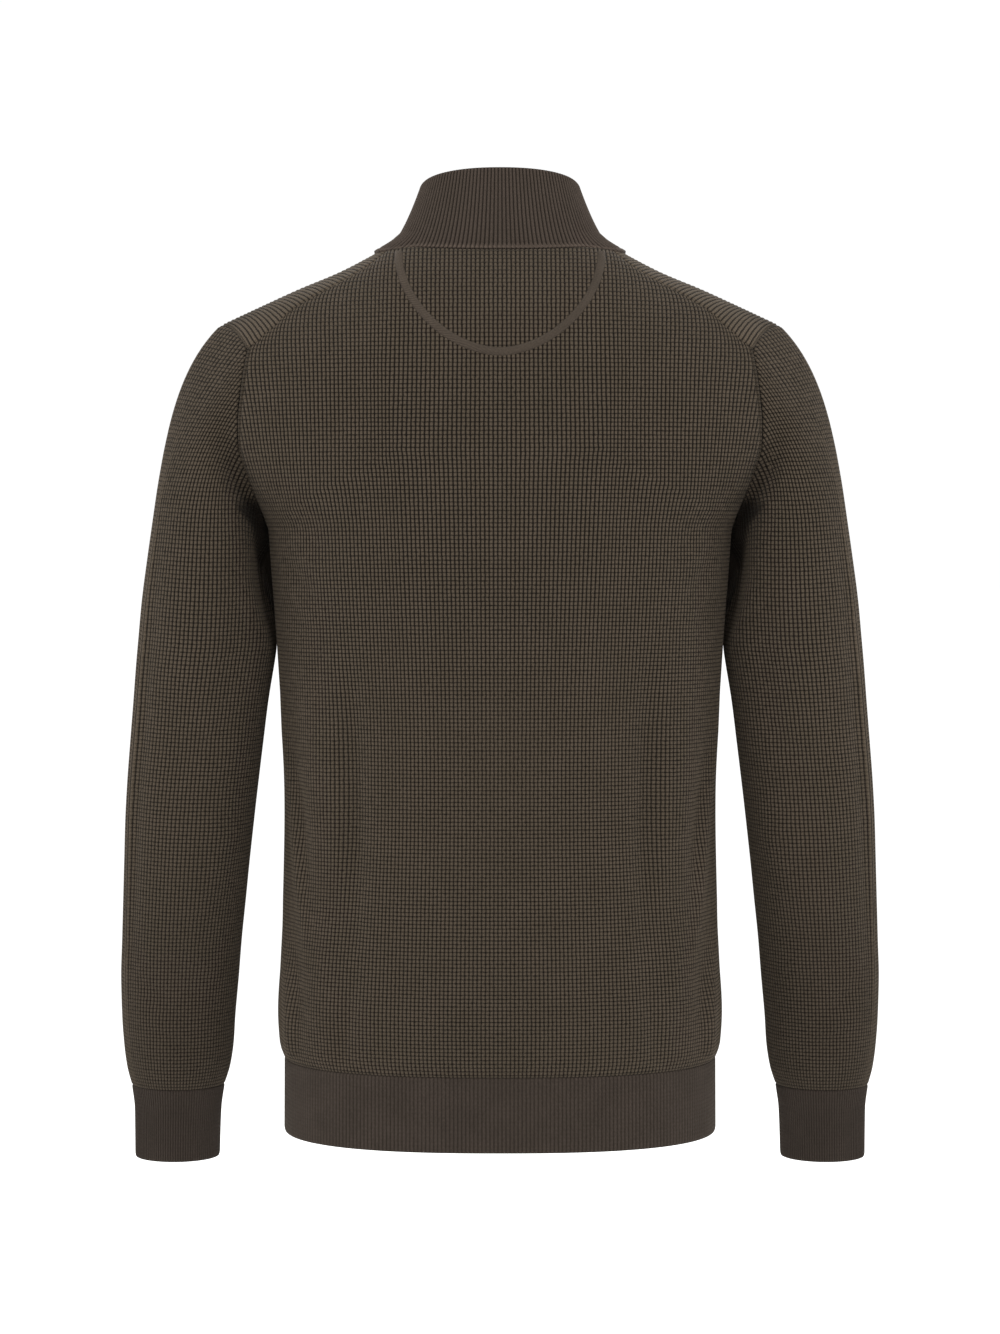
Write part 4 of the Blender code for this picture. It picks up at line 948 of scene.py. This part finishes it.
def rib_profile(places):
    """Height of a rib at its place, counted in ribs: broad crests and narrow valleys."""
    return (0.5 + 0.5 * np.cos(2 * math.pi * places)) ** 0.45


def groove(distance, at, width, height):
    return height * np.exp(-(((distance - at) / width) ** 2))


def edge_roll(distance, height=-0.0004, reach=0.0011):
    """Cloth drawn in towards a seam."""
    return height * np.exp(-((distance / reach) ** 2))


def wale_relief(places, near, share=1.0):
    """Relief of the wales, which flatten towards a seam."""
    crests = rib_profile(places) * WALE_RELIEF * smooth_step(0, SEAM_FADE, near) * share
    return crests - WALE_BASE + edge_roll(near)


def uncrowded(points):
    """One where a panel's wales have room, falling to nothing where they crowd together."""
    return smooth_step(0.001, 0.0022, np.gradient(lengths(points), axis=1) * STEPS_PER_WALE)


def joined(grid):
    """A tube's values with its first column once more at the end."""
    return np.concatenate([grid, grid[:, :1]], axis=1)


def paired(first, last):
    return np.stack(np.broadcast_arrays(first, last), axis=-1)


def back_courses(z):
    """Courses up to a height on the back, which are tighter towards the hem."""
    return np.log(LOW_COURSE_PITCH + COURSE_GROWTH * z) / COURSE_GROWTH


# Pieces


def add_back(points, looks):
    low, high, first, last = seam_distances(points)
    side = np.minimum(first, last)
    near = np.minimum(low + HEM_SEAM_SET_BACK, np.minimum(high, side))
    across, z = np.abs(points[..., 0]), points[..., 2]
    shoulder = smooth_step(NECK_SEAM_X - 0.003, NECK_SEAM_X + 0.003, across)
    armhole = smooth_step(UNDERARM - 0.02, UNDERARM + 0.02, z)
    places = np.abs(np.arange(points.shape[1]) - BACK_WALES * STEPS_PER_WALE) / STEPS_PER_WALE
    relief = wale_relief(places, near, uncrowded(points))
    for line in SHOULDER_LINES:
        relief = relief + groove(high, *line) * shoulder
    for line in ARMHOLE_LINES:
        relief = relief + groove(side, *line) * armhole
    # Less painted seam shade along the back's neck edge
    neck_side = smooth_step(NECK_SEAM_X + 0.001, NECK_SEAM_X - 0.001, across)
    near = np.where(high <= near + 0.0001, near + 0.0012 * neck_side, near)
    knit, plainness_and_painted_light = paired(places, back_courses(z)), paired(0, near * 100)
    normals = grid_normals(points, BACK_CENTRE)
    made = points, normals, relief, knit, plainness_and_painted_light
    add_cloth("back", "back_panel", "knit", looks, *made, rests_on=("fronts_left", "fronts_right"))


def add_fronts(points, looks):
    for side, sign, grid in both_sides(points):
        low, high, first, last = seam_distances(grid)
        near = np.minimum(np.minimum(low + HEM_SEAM_SET_BACK, high), np.minimum(first, last))
        places = (np.arange(grid.shape[1]) / STEPS_PER_WALE)[::sign]
        relief = wale_relief(places, near, uncrowded(grid))
        plain = smooth_step(0.050, 0.026, high) * smooth_step(-0.002, 0.004, grid[..., 1])
        knit, plainness_and_painted_light = paired(places, low / COURSE_PITCH), paired(plain, near * 100)
        normals = grid_normals(grid, np.array(FRONT_CENTRE) * (sign, 1, 1))
        made = grid, normals, relief, knit, plainness_and_painted_light
        add_cloth("fronts_" + side, "front_" + side, "knit", looks, *made)


def add_sleeves(points, looks):
    columns = points.shape[1]
    places = np.arange(columns + 1) / STEPS_PER_WALE
    for side, sign, grid in both_sides(points, True):
        down = lengths_up(grid)
        near = np.minimum(down, down[-1:] - down + HEM_SEAM_SET_BACK)
        relief = wale_relief(places[:-1], near)
        # Painted shade in the wedge under the arm, carried as distances below a seam
        down, near = joined(down), joined(near - painted_wedge_shade(grid))
        courses = np.log1p((down[-1:] - down) * SLEEVE_SPREAD / SLEEVE_COURSE) / SLEEVE_SPREAD
        turns = (np.arange(columns + 1) * 360 / columns)[::sign]
        # Painted highlight along the crest of the sleeve's pressed fold, carried as plain knit
        crest = 0.75 * np.exp(-(((turns - PAINTED_HIGHLIGHT_TURN) / 3.4) ** 2))
        knit = paired(places, courses)
        plainness_and_painted_light = paired(crest * smooth_step(0.06, 0.16, down), near * 100)
        normals = grid_normals(grid, np.array(SLEEVE_CENTRE) * (sign, 1, 1), True)
        made = grid, normals, relief, knit, plainness_and_painted_light
        add_cloth("sleeves_" + side, "sleeve_" + side, "knit", looks, *made, closed=True)


def add_collar(points, looks):
    low, high, first, last = seam_distances(points)
    places = np.arange(points.shape[1]) / STEPS_PER_RIB
    relief = rib_profile(places) * COLLAR_RIB_RELIEF * smooth_step(0.0, 0.003, low)
    relief = relief * smooth_step(-0.001, 0.002, high)
    relief = relief + edge_roll(np.minimum(first, last), -0.0005)
    links = 0.5 + 0.5 * np.cos(2 * math.pi * lengths(points)[0] / LINK_PITCH)
    ridge = groove(low, *COLLAR_RIDGE)
    relief = relief * (1 - ridge) + ridge * (0.0003 + 0.0008 * links)
    relief = relief + groove(low, *COLLAR_LINE)
    # The linking ridge's bumps get a painted highlight
    knit, plainness_and_painted_light = paired(places, low / COURSE_PITCH), paired(ridge * (0.25 + 0.75 * links), 5.0)
    normals = grid_normals(points, (0, 0, 0))
    add_cloth("neck_collar", "collar", "rib", looks, points, normals, relief, knit, plainness_and_painted_light)


def add_ribbed(name, node, points, centre, looks, closed=False):
    """A ribbed hem or cuff with a rolled lower edge."""
    low, high, _, _ = seam_distances(points)
    columns = points.shape[1]
    places = np.arange(columns + closed) / STEPS_PER_RIB
    relief = rib_profile(places[:columns]) * RIB_RELIEF * smooth_step(-0.001, 0.002, high)
    relief = relief * smooth_step(-0.001, 0.0025, low) + edge_roll(high, -0.0003, 0.0008)
    if closed:
        low, high = joined(low), joined(high)
    # Painted shade near the upper seam of a hem or cuff
    knit, plainness_and_painted_light = paired(places, low / COURSE_PITCH), paired(0, high * 100 + 0.08)
    normals = grid_normals(points, centre, closed)
    add_cloth(name, node, "rib", looks, points, normals, relief, knit, plainness_and_painted_light, closed)


def hem_grid(edge):
    """Hem below a panel's lower edge, in rows from its own lower edge up."""
    ribs = round(lengths(edge)[-1] / RIB_PITCH)
    top = resampled(edge, np.linspace(0, 1, ribs * STEPS_PER_RIB + 1))
    facing = unit(np.cross(unit(np.gradient(top, axis=0)), np.array((0, 0, 1.0))))
    if np.sum(facing * top * np.array((1, 1, 0))) < 0:
        facing = -facing
    rows = []
    for share in row_shares(HEM_TOP - HEM_BOTTOM):
        drop = (1 - share) * (HEM_BOTTOM - HEM_TOP)
        rows.append(top + facing * HEM_SPREAD * (1 - share) + np.array((0, 0, drop)))
    return drawn_back(np.array(rows))


def add_hems(back_edge, front_edge, looks):
    add_ribbed("hem_rib_back", "hem_back", hem_grid(back_edge), HEM_CENTRE, looks)
    for side, _, grid in both_sides(hem_grid(front_edge)):
        add_ribbed("hem_rib_" + side, "hem_front_" + side, grid, HEM_CENTRE, looks)


def add_cuffs(looks):
    steps = round(2 * math.pi * CUFF_RADIUS / CUFF_RIB_PITCH) * STEPS_PER_RIB
    turns = np.arange(steps) * 360 / steps
    heights = mixed(CUFF_BOTTOM, SLEEVE_END, row_shares(SLEEVE_END - CUFF_BOTTOM))
    points = drawn_back(np.array([tube_point(CUFF, turns, height) for height in heights]), True)
    for side, sign, grid in both_sides(points, True):
        centre = np.array(CUFF_CENTRE) * (sign, 1, 1)
        add_ribbed("cuff_rib_" + side, "cuff_" + side, grid, centre, looks, True)


def add_half_moon(looks):
    """Soft band laid on the back in a half moon, with fine ribs across it."""
    turn = np.linspace(0, math.pi, 2001)
    power = 2 / MOON_CURVE
    lines = []
    for across in np.linspace(-0.5, 0.5, 11):
        reach, drop = MOON_HALF_WIDTH + across * MOON_BAND, MOON_DEPTH + across * MOON_BAND
        x = reach * np.sign(np.cos(turn)) * np.abs(np.cos(turn)) ** power
        z = MOON_TOP - drop * np.sin(turn) ** power
        lines.append(resampled(body_point(x, z, "back"), np.linspace(0, 1, 481)))
    points = np.array(lines)
    normals = grid_normals(points, BACK_CENTRE)
    across = np.linspace(-1, 1, 11)[:, None]
    places = lengths(points) / MOON_RIB_PITCH
    relief = (1 - across**2) ** 0.6 * MOON_RISE - 0.0008
    relief = relief + rib_profile(places) * 0.00040 * (1 - across**2)
    points = points + normals * 0.0009
    # Painted shade on the band's edges; its knit is also lighter all over
    knit, plainness_and_painted_light = paired(places, (across + 1) * 1.2), paired(0.2, (1 - np.abs(across)) * 0.33)
    plainness_and_painted_light = np.broadcast_to(plainness_and_painted_light, knit.shape)
    made = points, normals, relief, knit, plainness_and_painted_light
    laid = {"held": "laid", "narrow": MOON_SHEET_WIDTH, "wall": THIN_WALL, "steps": (2, 8)}
    add_cloth("neck_moon", "neck_half_moon", "rib", looks, *made, **laid)


# Zip


def zip_rows(front, collar):
    """Points beside the zip from the hem's lower edge to the collar's top."""
    hem = np.linspace(HEM_BOTTOM + 0.0016, HEM_TOP - 0.002, 14)
    low = np.repeat(front[:1, :ZIP_COLUMNS], len(hem), axis=0)
    low[..., 2] = hem[:, None]
    x = front[0, :ZIP_COLUMNS, 0]
    high = []
    for row in collar[1:]:
        beside = row[(row[:, 0] > 0) & (row[:, 1] < 0)]
        beside = beside[np.argsort(beside[:, 0])]
        high.append(np.column_stack([x, read_at(x, beside[:, 0], beside[:, 1:])]))
    return np.concatenate([low, front[:, :ZIP_COLUMNS], np.array(high)])


def zip_path(rows):
    """Middle line of the zip, its run upwards and its direction out of the cloth."""
    path = rows[:, 0] * np.array((0, 1, 1))
    run = unit(np.gradient(path, axis=0))
    return path, run, np.stack([np.zeros(len(path)), -run[:, 2], run[:, 1]], axis=1)


def add_tapes(rows, looks):
    """Woven tapes behind the cloth on both sides of the zip."""
    edge, inside = rows[:, :1].copy(), rows[:, :1].copy()
    edge[..., 0], inside[..., 0] = TAPE_EDGE, (TAPE_EDGE + FRONT_EDGE) / 2
    points = np.concatenate([edge, inside, rows], axis=1)
    points = points[:, points[0, :, 0] < TAPE_EDGE + TAPE_WIDTH + 0.0005]
    _, run, out = zip_path(rows)
    points = points - out[:, None] * TAPE_BEHIND
    points[-3:] = points[-3:] - run[-3:, None] * 0.0012
    for side, sign, grid in both_sides(points):
        up, _, first, last = seam_distances(grid)
        across = first if sign > 0 else last
        knit, plainness_and_painted_light = paired(across, up) / 0.0009, np.broadcast_to((0.0, 1.0), (*up.shape, 2))
        normals, cord = grid_normals(grid, (0, 0, -0.35)), groove(across, *TAPE_CORD)
        made = grid, normals, cord, knit, plainness_and_painted_light
        thin = {"rests_on": ["fronts_" + side], "wall": THIN_WALL, "steps": (2, 2)}
        add_cloth("tape_" + side, "zip_tape_" + side, "zip_tape", looks, *made, **thin)


def tooth_form():
    """One tooth, as rounded blocks: across from the middle, along the zip and out of the cloth."""
    outline = ((-0.55, 0.35), (0.05, 0.58), (1.0, 0.62), (1.35, 0.50), (2.1, 0.62), (2.85, 0.62))
    ring = np.array(outline + tuple((x, -y) for x, y in outline[::-1])) / 1000
    middle = ring.mean(axis=0)
    layers = []
    for out, grow in ((-1.05, -0.12), (-0.95, 0.0), (0.80, 0.0), (0.95, -0.05), (1.05, -0.2)):
        scaled = middle + (ring - middle) * (1 + grow / 1.2)
        layers.append(np.column_stack([scaled, np.full(len(ring), out / 1000)]))
    return np.array(layers)


def add_teeth(rows, looks):
    """Meshing metal teeth from the box up to the slider."""
    path, run, _ = zip_path(rows)
    length = lengths(path)
    start, end = (np.interp(z, path[:, 2], length) for z in (TEETH_LOW, TEETH_HIGH))
    layers = tooth_form()
    count, each = layers.shape[1], layers.size // 3
    across, along, out = layers.reshape(-1, 3).T[..., None]
    faces = quads(np.arange(each).reshape(layers.shape[:2]), True).tolist()
    faces += [list(range(count)), list(range(each - count, each))[::-1]]
    for side, sign in (("left", 1), ("right", -1)):
        first = start + (0 if sign > 0 else TOOTH_PITCH / 2) + 0.0007
        co, made = [], []
        for place in np.arange(first, end - 0.0007, TOOTH_PITCH):
            at, up = read_at([place], length, path)[0], unit(read_at([place], length, run)[0])
            points = at + across * sign * (1, 0, 0) + along * up
            made += [[len(co) + n for n in face[::sign]] for face in faces]
            co += (points + (out - TOOTH_BEHIND) * (0, -up[2], up[1])).tolist()
        mesh = bpy.data.meshes.new("teeth_" + side)
        mesh.from_pydata(co, [], made)
        add_piece("teeth_" + side, "zip_teeth_" + side, mesh, looks)


def dress_metal(looks):
    """The zip's other metal keeps its solids, with softened edges."""
    for name in ("zip_slider", "zip_pull_tab", "zip_box", "zip_stop_left", "zip_stop_right"):
        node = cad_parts[name]
        for slot in node.material_slots:
            slot.material = looks
        if not node.material_slots:
            node.data.materials.append(looks)
        bevel = node.modifiers.new("edges", "BEVEL")
        bevel.width, bevel.segments = 0.00018, 2
        bevel.limit_method, bevel.angle_limit = "ANGLE", math.radians(40)


# Materials


class Value:
    """A number or colour that a material's nodes work out, for use in expressions."""

    def __init__(self, nodes, socket):
        self.nodes, self.socket = nodes, socket

    def maths(self, operation, *sources):
        return self.nodes.add("Math", dict(enumerate(sources)), operation=operation)

    def __add__(self, other):
        return self.maths("ADD", self, other)

    def __sub__(self, other):
        return self.maths("SUBTRACT", self, other)

    def __rsub__(self, other):
        return self.maths("SUBTRACT", other, self)

    def __mul__(self, other):
        return self.maths("MULTIPLY", self, other)

    def __truediv__(self, other):
        return self.maths("DIVIDE", self, other)

    def __abs__(self):
        return self.maths("ABSOLUTE", self)

    def __floor__(self):
        return self.maths("FLOOR", self)

    def maximum(self, other):
        return self.maths("MAXIMUM", self, other)

    def fraction(self):
        return self.maths("FRACT", self)

    def ramp(self, low, high):
        """Smooth rise from nothing at low to one at high, which may be the smaller."""
        sources = {0: self, 1: low, 2: high}
        return self.nodes.add("MapRange", sources, interpolation_type="SMOOTHSTEP")

    def parts(self):
        return [self.nodes.add("SeparateXYZ", {0: self}, part) for part in range(3)]

    def scaled(self, share):
        return self.nodes.add("VectorMath", {0: self, 3: share}, operation="SCALE")


class Nodes:
    """A material's nodes."""

    def __init__(self, name, **settings):
        self.material = bpy.data.materials.new(name)
        self.material.use_nodes = True
        self.tree = self.material.node_tree
        self.shader = self.tree.nodes["Principled BSDF"].inputs
        for label, setting in settings.items():
            self.feed(self.shader[label.replace("_", " ")], setting)

    def feed(self, target, source):
        if isinstance(source, Value):
            self.tree.links.new(source.socket, target)
        else:
            target.default_value = (*source, 1.0) if isinstance(source, tuple) else source

    def add(self, kind, sources, output=0, **settings):
        """An output of a new node, from the sources of its inputs and its other settings."""
        node = self.tree.nodes.new("ShaderNode" + kind)
        for label, setting in settings.items():
            setattr(node, label, setting)
        for label, source in sources.items():
            self.feed(node.inputs[label], source)
        return Value(self, node.outputs[output])

    def position(self):
        return self.add("TexCoord", {}, "Object")

    def uv(self, label):
        place = self.add("UVMap", {}, uv_map=label)
        return place, *place.parts()[:2]

    def noise(self, scale, detail, place=None):
        sources = {"Scale": scale, "Detail": detail, "Vector": place or self.position()}
        return self.add("TexNoise", sources, "Fac")

    def cells(self, across, up):
        """A random number for each stitch."""
        cell = self.add("CombineXYZ", {0: math.floor(across), 1: math.floor(up)})
        return self.add("TexWhiteNoise", {"Vector": cell}, "Value", noise_dimensions="2D")

    def mix(self, share, first, last):
        return self.add("Mix", {0: share, 6: first, 7: last}, 2, data_type="RGBA")

    def mottled(self, light, dark):
        """Wool's own colour, which changes slowly over the cloth and from stitch to stitch."""
        share = self.noise(38.0, 3.0) * 0.45 + self.noise(520.0, 2.0) * 0.55
        return self.mix(share.ramp(0.20, 0.80), dark, light)

    def finished(self, colour, height, strength):
        """The material with its colour and the height of its bumps, in metres."""
        self.feed(self.shader["Base Color"], colour)
        bump = self.add("Bump", {"Height": height, "Distance": 1.0, "Strength": strength})
        self.feed(self.shader["Normal"], bump)
        return self.material


def cloth_nodes(name):
    sheen = {"Sheen_Weight": 0.05, "Sheen_Roughness": 0.45, "Sheen_Tint": SHEEN_TINT}
    return Nodes(name, Roughness=0.92, Specular_IOR_Level=0.12, **sheen)


def legs(up, across, slant, narrow):
    """Slanting legs of the stitches, to both sides of a wale or rib."""
    leg = (up + abs(abs(across) - 0.5) * slant).fraction()
    return abs(leg - 0.5).ramp(0.5, narrow)


def knit_looks():
    """Wales with a column of small holes between them, a hole to each course, with painted shade.
    """
    nodes = cloth_nodes("knit_wool")
    place, across, up = nodes.uv("knit")
    _, plain, seam = nodes.uv("plainness_and_painted_light")
    across = across + (nodes.noise(0.55, 2.0, place) * 0.30 - 0.15)
    cell = nodes.cells(across, up)
    in_wale = across.fraction() - 0.5
    in_course = (up + (cell * 0.10 - 0.05)).fraction() - 0.5
    patterned = 1.0 - plain
    aside, beyond = in_wale / 0.26, (0.5 - abs(in_course)) / 0.30
    pit = (aside * aside + beyond * beyond).ramp(1.0, 0.05)
    pit = pit * (cell * 0.55 + 0.62) * (patterned * 0.8 + 0.2)
    valley = abs(in_wale).ramp(0.31, 0.04)
    line = abs(in_course).ramp(0.5, 0.26)
    stitch = legs(up, in_wale, 1.1, 0.1)

    # Painted shade darkens the lower cloth, most on the sleeves; lower down, the valleys' shade is
    # weaker
    x, _, z = nodes.position().parts()
    lower = z.ramp(-0.36, -0.62) * (abs(x).ramp(0.19, 0.23) * 0.13 + 0.05)
    # Plain knit is lighter, and the sleeves' crest gets a painted highlight the same way
    colour = nodes.mottled(*KNIT_TONES).scaled(plain * 0.22 + 1.06).scaled(1.0 - lower)
    deep = z.ramp(-0.50, -0.18).maximum(plain) * 0.22 + 0.76

    # Painted shade in the holes, in the valleys between the wales, between the stitches' legs and
    # along the course lines
    shade = (1.0 - pit * 0.96) * (1.0 - valley * deep) * (stitch * 0.12 + 0.88)
    painted_shade_strength = (nodes.noise(9.0, 1.0) * 0.60 + 0.48) * patterned
    shade = shade * (1.0 - (1.0 - line) * painted_shade_strength)
    # Painted shade along the seams, and much darker painted shade in the wedge under the arm
    shade = shade * (seam.ramp(0.0, 0.10) * 0.35 + 0.65) * (seam.ramp(-4.0, 0.0) * 0.92 + 0.08)
    height = pit * -0.00040 + line * 0.00030 + stitch * 0.00012
    height = height + nodes.noise(2600.0, 3.0) * 0.00016
    return nodes.finished(nodes.mix(shade, WOOL_PAINTED_SHADE, colour), height, 0.9)


def rib_looks(name, tones, painted_shade_strength):
    """Fine ribs of narrow stitches, with painted shade between them, as strong as given."""
    nodes = cloth_nodes(name)
    place, across, up = nodes.uv("knit")
    _, plain, seam = nodes.uv("plainness_and_painted_light")
    across = across + (nodes.noise(0.5, 2.0, place) * 0.16 - 0.08)
    in_rib = across.fraction() - 0.5
    valley = abs(in_rib).ramp(0.30, 0.04)
    stitch = legs(up, in_rib, 0.9, 0.08)
    # plain lightens the colour: a painted highlight on the collar's linking ridge, and the half
    # moon evenly
    colour = nodes.mottled(*tones).scaled(plain * 0.75 + 1.0)
    # Painted shade between the ribs and between the stitches' legs
    shade = (1.0 - valley * (1.0 - plain) * painted_shade_strength) * (stitch * 0.10 + 0.90)
    # Painted shade along the seams and at the half moon's edges
    shade = shade * (seam.ramp(0.0, 0.13) * 0.35 + 0.65)
    height = valley * -0.00025 + stitch * 0.00013 + nodes.noise(2600.0, 3.0) * 0.00014
    return nodes.finished(nodes.mix(shade, WOOL_PAINTED_SHADE, colour), height, 0.9)


def tape_looks():
    """Herringbone-woven tape, with painted shade between its raised threads."""
    nodes = cloth_nodes("tape_weave")
    _, across, up = nodes.uv("knit")
    thread = (across.maths("PINGPONG", across, 2.0) + up).fraction()
    raised = abs(thread - 0.5).ramp(0.5, 0.12)
    colour = nodes.mix(nodes.noise(300.0, 2.0), *TAPE_TONES)
    return nodes.finished(colour.scaled(raised * 0.5 + 0.62), raised * 0.0002, 0.8)


def metal_looks():
    """Antique metal, darker in places and rubbed brighter in others."""
    nodes = Nodes("aged_metal", Metallic=1.0)
    wear = nodes.noise(420.0, 4.0)
    nodes.feed(nodes.shader["Roughness"], wear * 0.25 + 0.22)
    colour = nodes.mix(wear.ramp(0.35, 0.70), *METAL_TONES)
    return nodes.finished(colour, nodes.noise(2400.0, 2.0) * 0.00004, 0.5)


def floor_looks():
    glow = {"Emission_Color": WHITE, "Emission_Strength": 0.10}
    nodes = Nodes("studio_floor", Roughness=1.0, Specular_IOR_Level=0.0, **glow)
    nodes.feed(nodes.shader["Base Color"], nodes.mix(nodes.noise(0.7, 2.0), *FLOOR_TONES))
    return nodes.material


# Stage, light and camera


def add_floor():
    """A round floor of rings about a middle point."""
    angles = np.linspace(0, 2 * math.pi, FLOOR_SIDES, endpoint=False)
    co = [(0.0, 0.0, FLOOR_HEIGHT)]
    for radius in FLOOR_RADII:
        co += [(radius * math.cos(a), radius * math.sin(a), FLOOR_HEIGHT) for a in angles]
    faces = [(0, 1 + n, 1 + (n + 1) % FLOOR_SIDES) for n in range(FLOOR_SIDES)]
    rings = 1 + np.arange(len(co) - 1).reshape(-1, FLOOR_SIDES)
    faces += quads(rings, True)[:, ::-1].tolist()
    mesh = bpy.data.meshes.new("studio_floor")
    mesh.from_pydata(co, [], faces)
    mesh.materials.append(floor_looks())
    add_object("studio_floor", mesh)


def aim(thing, target):
    run = mathutils.Vector(target) - thing.location
    thing.rotation_euler = run.to_track_quat("-Z", "Y").to_euler()


def add_light(name, place, target, size, power):
    data = bpy.data.lights.new(name, "AREA")
    data.shape = "RECTANGLE"
    data.size, data.size_y = size
    data.energy = power
    light = add_object(name, data)
    light.location = place
    aim(light, target)


def add_studio():
    scene = bpy.context.scene
    scene.world = bpy.data.worlds.new("studio")
    scene.world.use_nodes = True
    background = scene.world.node_tree.nodes["Background"]
    background.inputs["Color"].default_value = (*WHITE, 1.0)
    background.inputs["Strength"].default_value = WORLD_STRENGTH
    scene.view_settings.view_transform = "Standard"
    scene.view_settings.look = "None"
    for side, sign in (("left", 1), ("right", -1)):
        for name, place, target, size, power in SIDE_LIGHTS:
            place, target = (sign * place[0], *place[1:]), (sign * target[0], *target[1:])
            add_light(name + side, place, target, size, power)
    add_light(*TOP_LIGHT)
    data = bpy.data.cameras.new("camera")
    data.sensor_width = SENSOR
    data.lens = SENSOR * CAMERA_DISTANCE / FRAME_HEIGHT
    data.clip_start, data.clip_end = 0.05, 100.0
    scene.camera = add_object("camera", data)
    scene.camera.location = (0.0, CAMERA_DISTANCE, CAMERA_HEIGHT)
    aim(scene.camera, (0.0, 0.0, AIM_HEIGHT))


def main():
    add_studio()
    add_floor()
    knit, metal = knit_looks(), metal_looks()
    back, front, collar = back_grid(), front_grid(), drawn_back(collar_grid())
    add_back(drawn_back(back), knit)
    add_fronts(drawn_back(front), knit)
    add_sleeves(drawn_back(sleeve_grid(), True), knit)
    add_collar(collar, rib_looks("collar_wool", COLLAR_TONES, 0.84))
    add_hems(back[0], front[0], rib_looks("hem_wool_painted_shade", HEM_TONES_WITH_PAINTED_SHADE, 0.50))
    add_cuffs(rib_looks("cuff_wool_painted_shade", CUFF_TONES_WITH_PAINTED_SHADE, 0.45))
    add_half_moon(rib_looks("moon_wool", MOON_TONES, 0.60))
    rows = zip_rows(drawn_back(front), collar)
    add_tapes(rows, tape_looks())
    add_teeth(rows, metal)
    dress_metal(metal)


main()
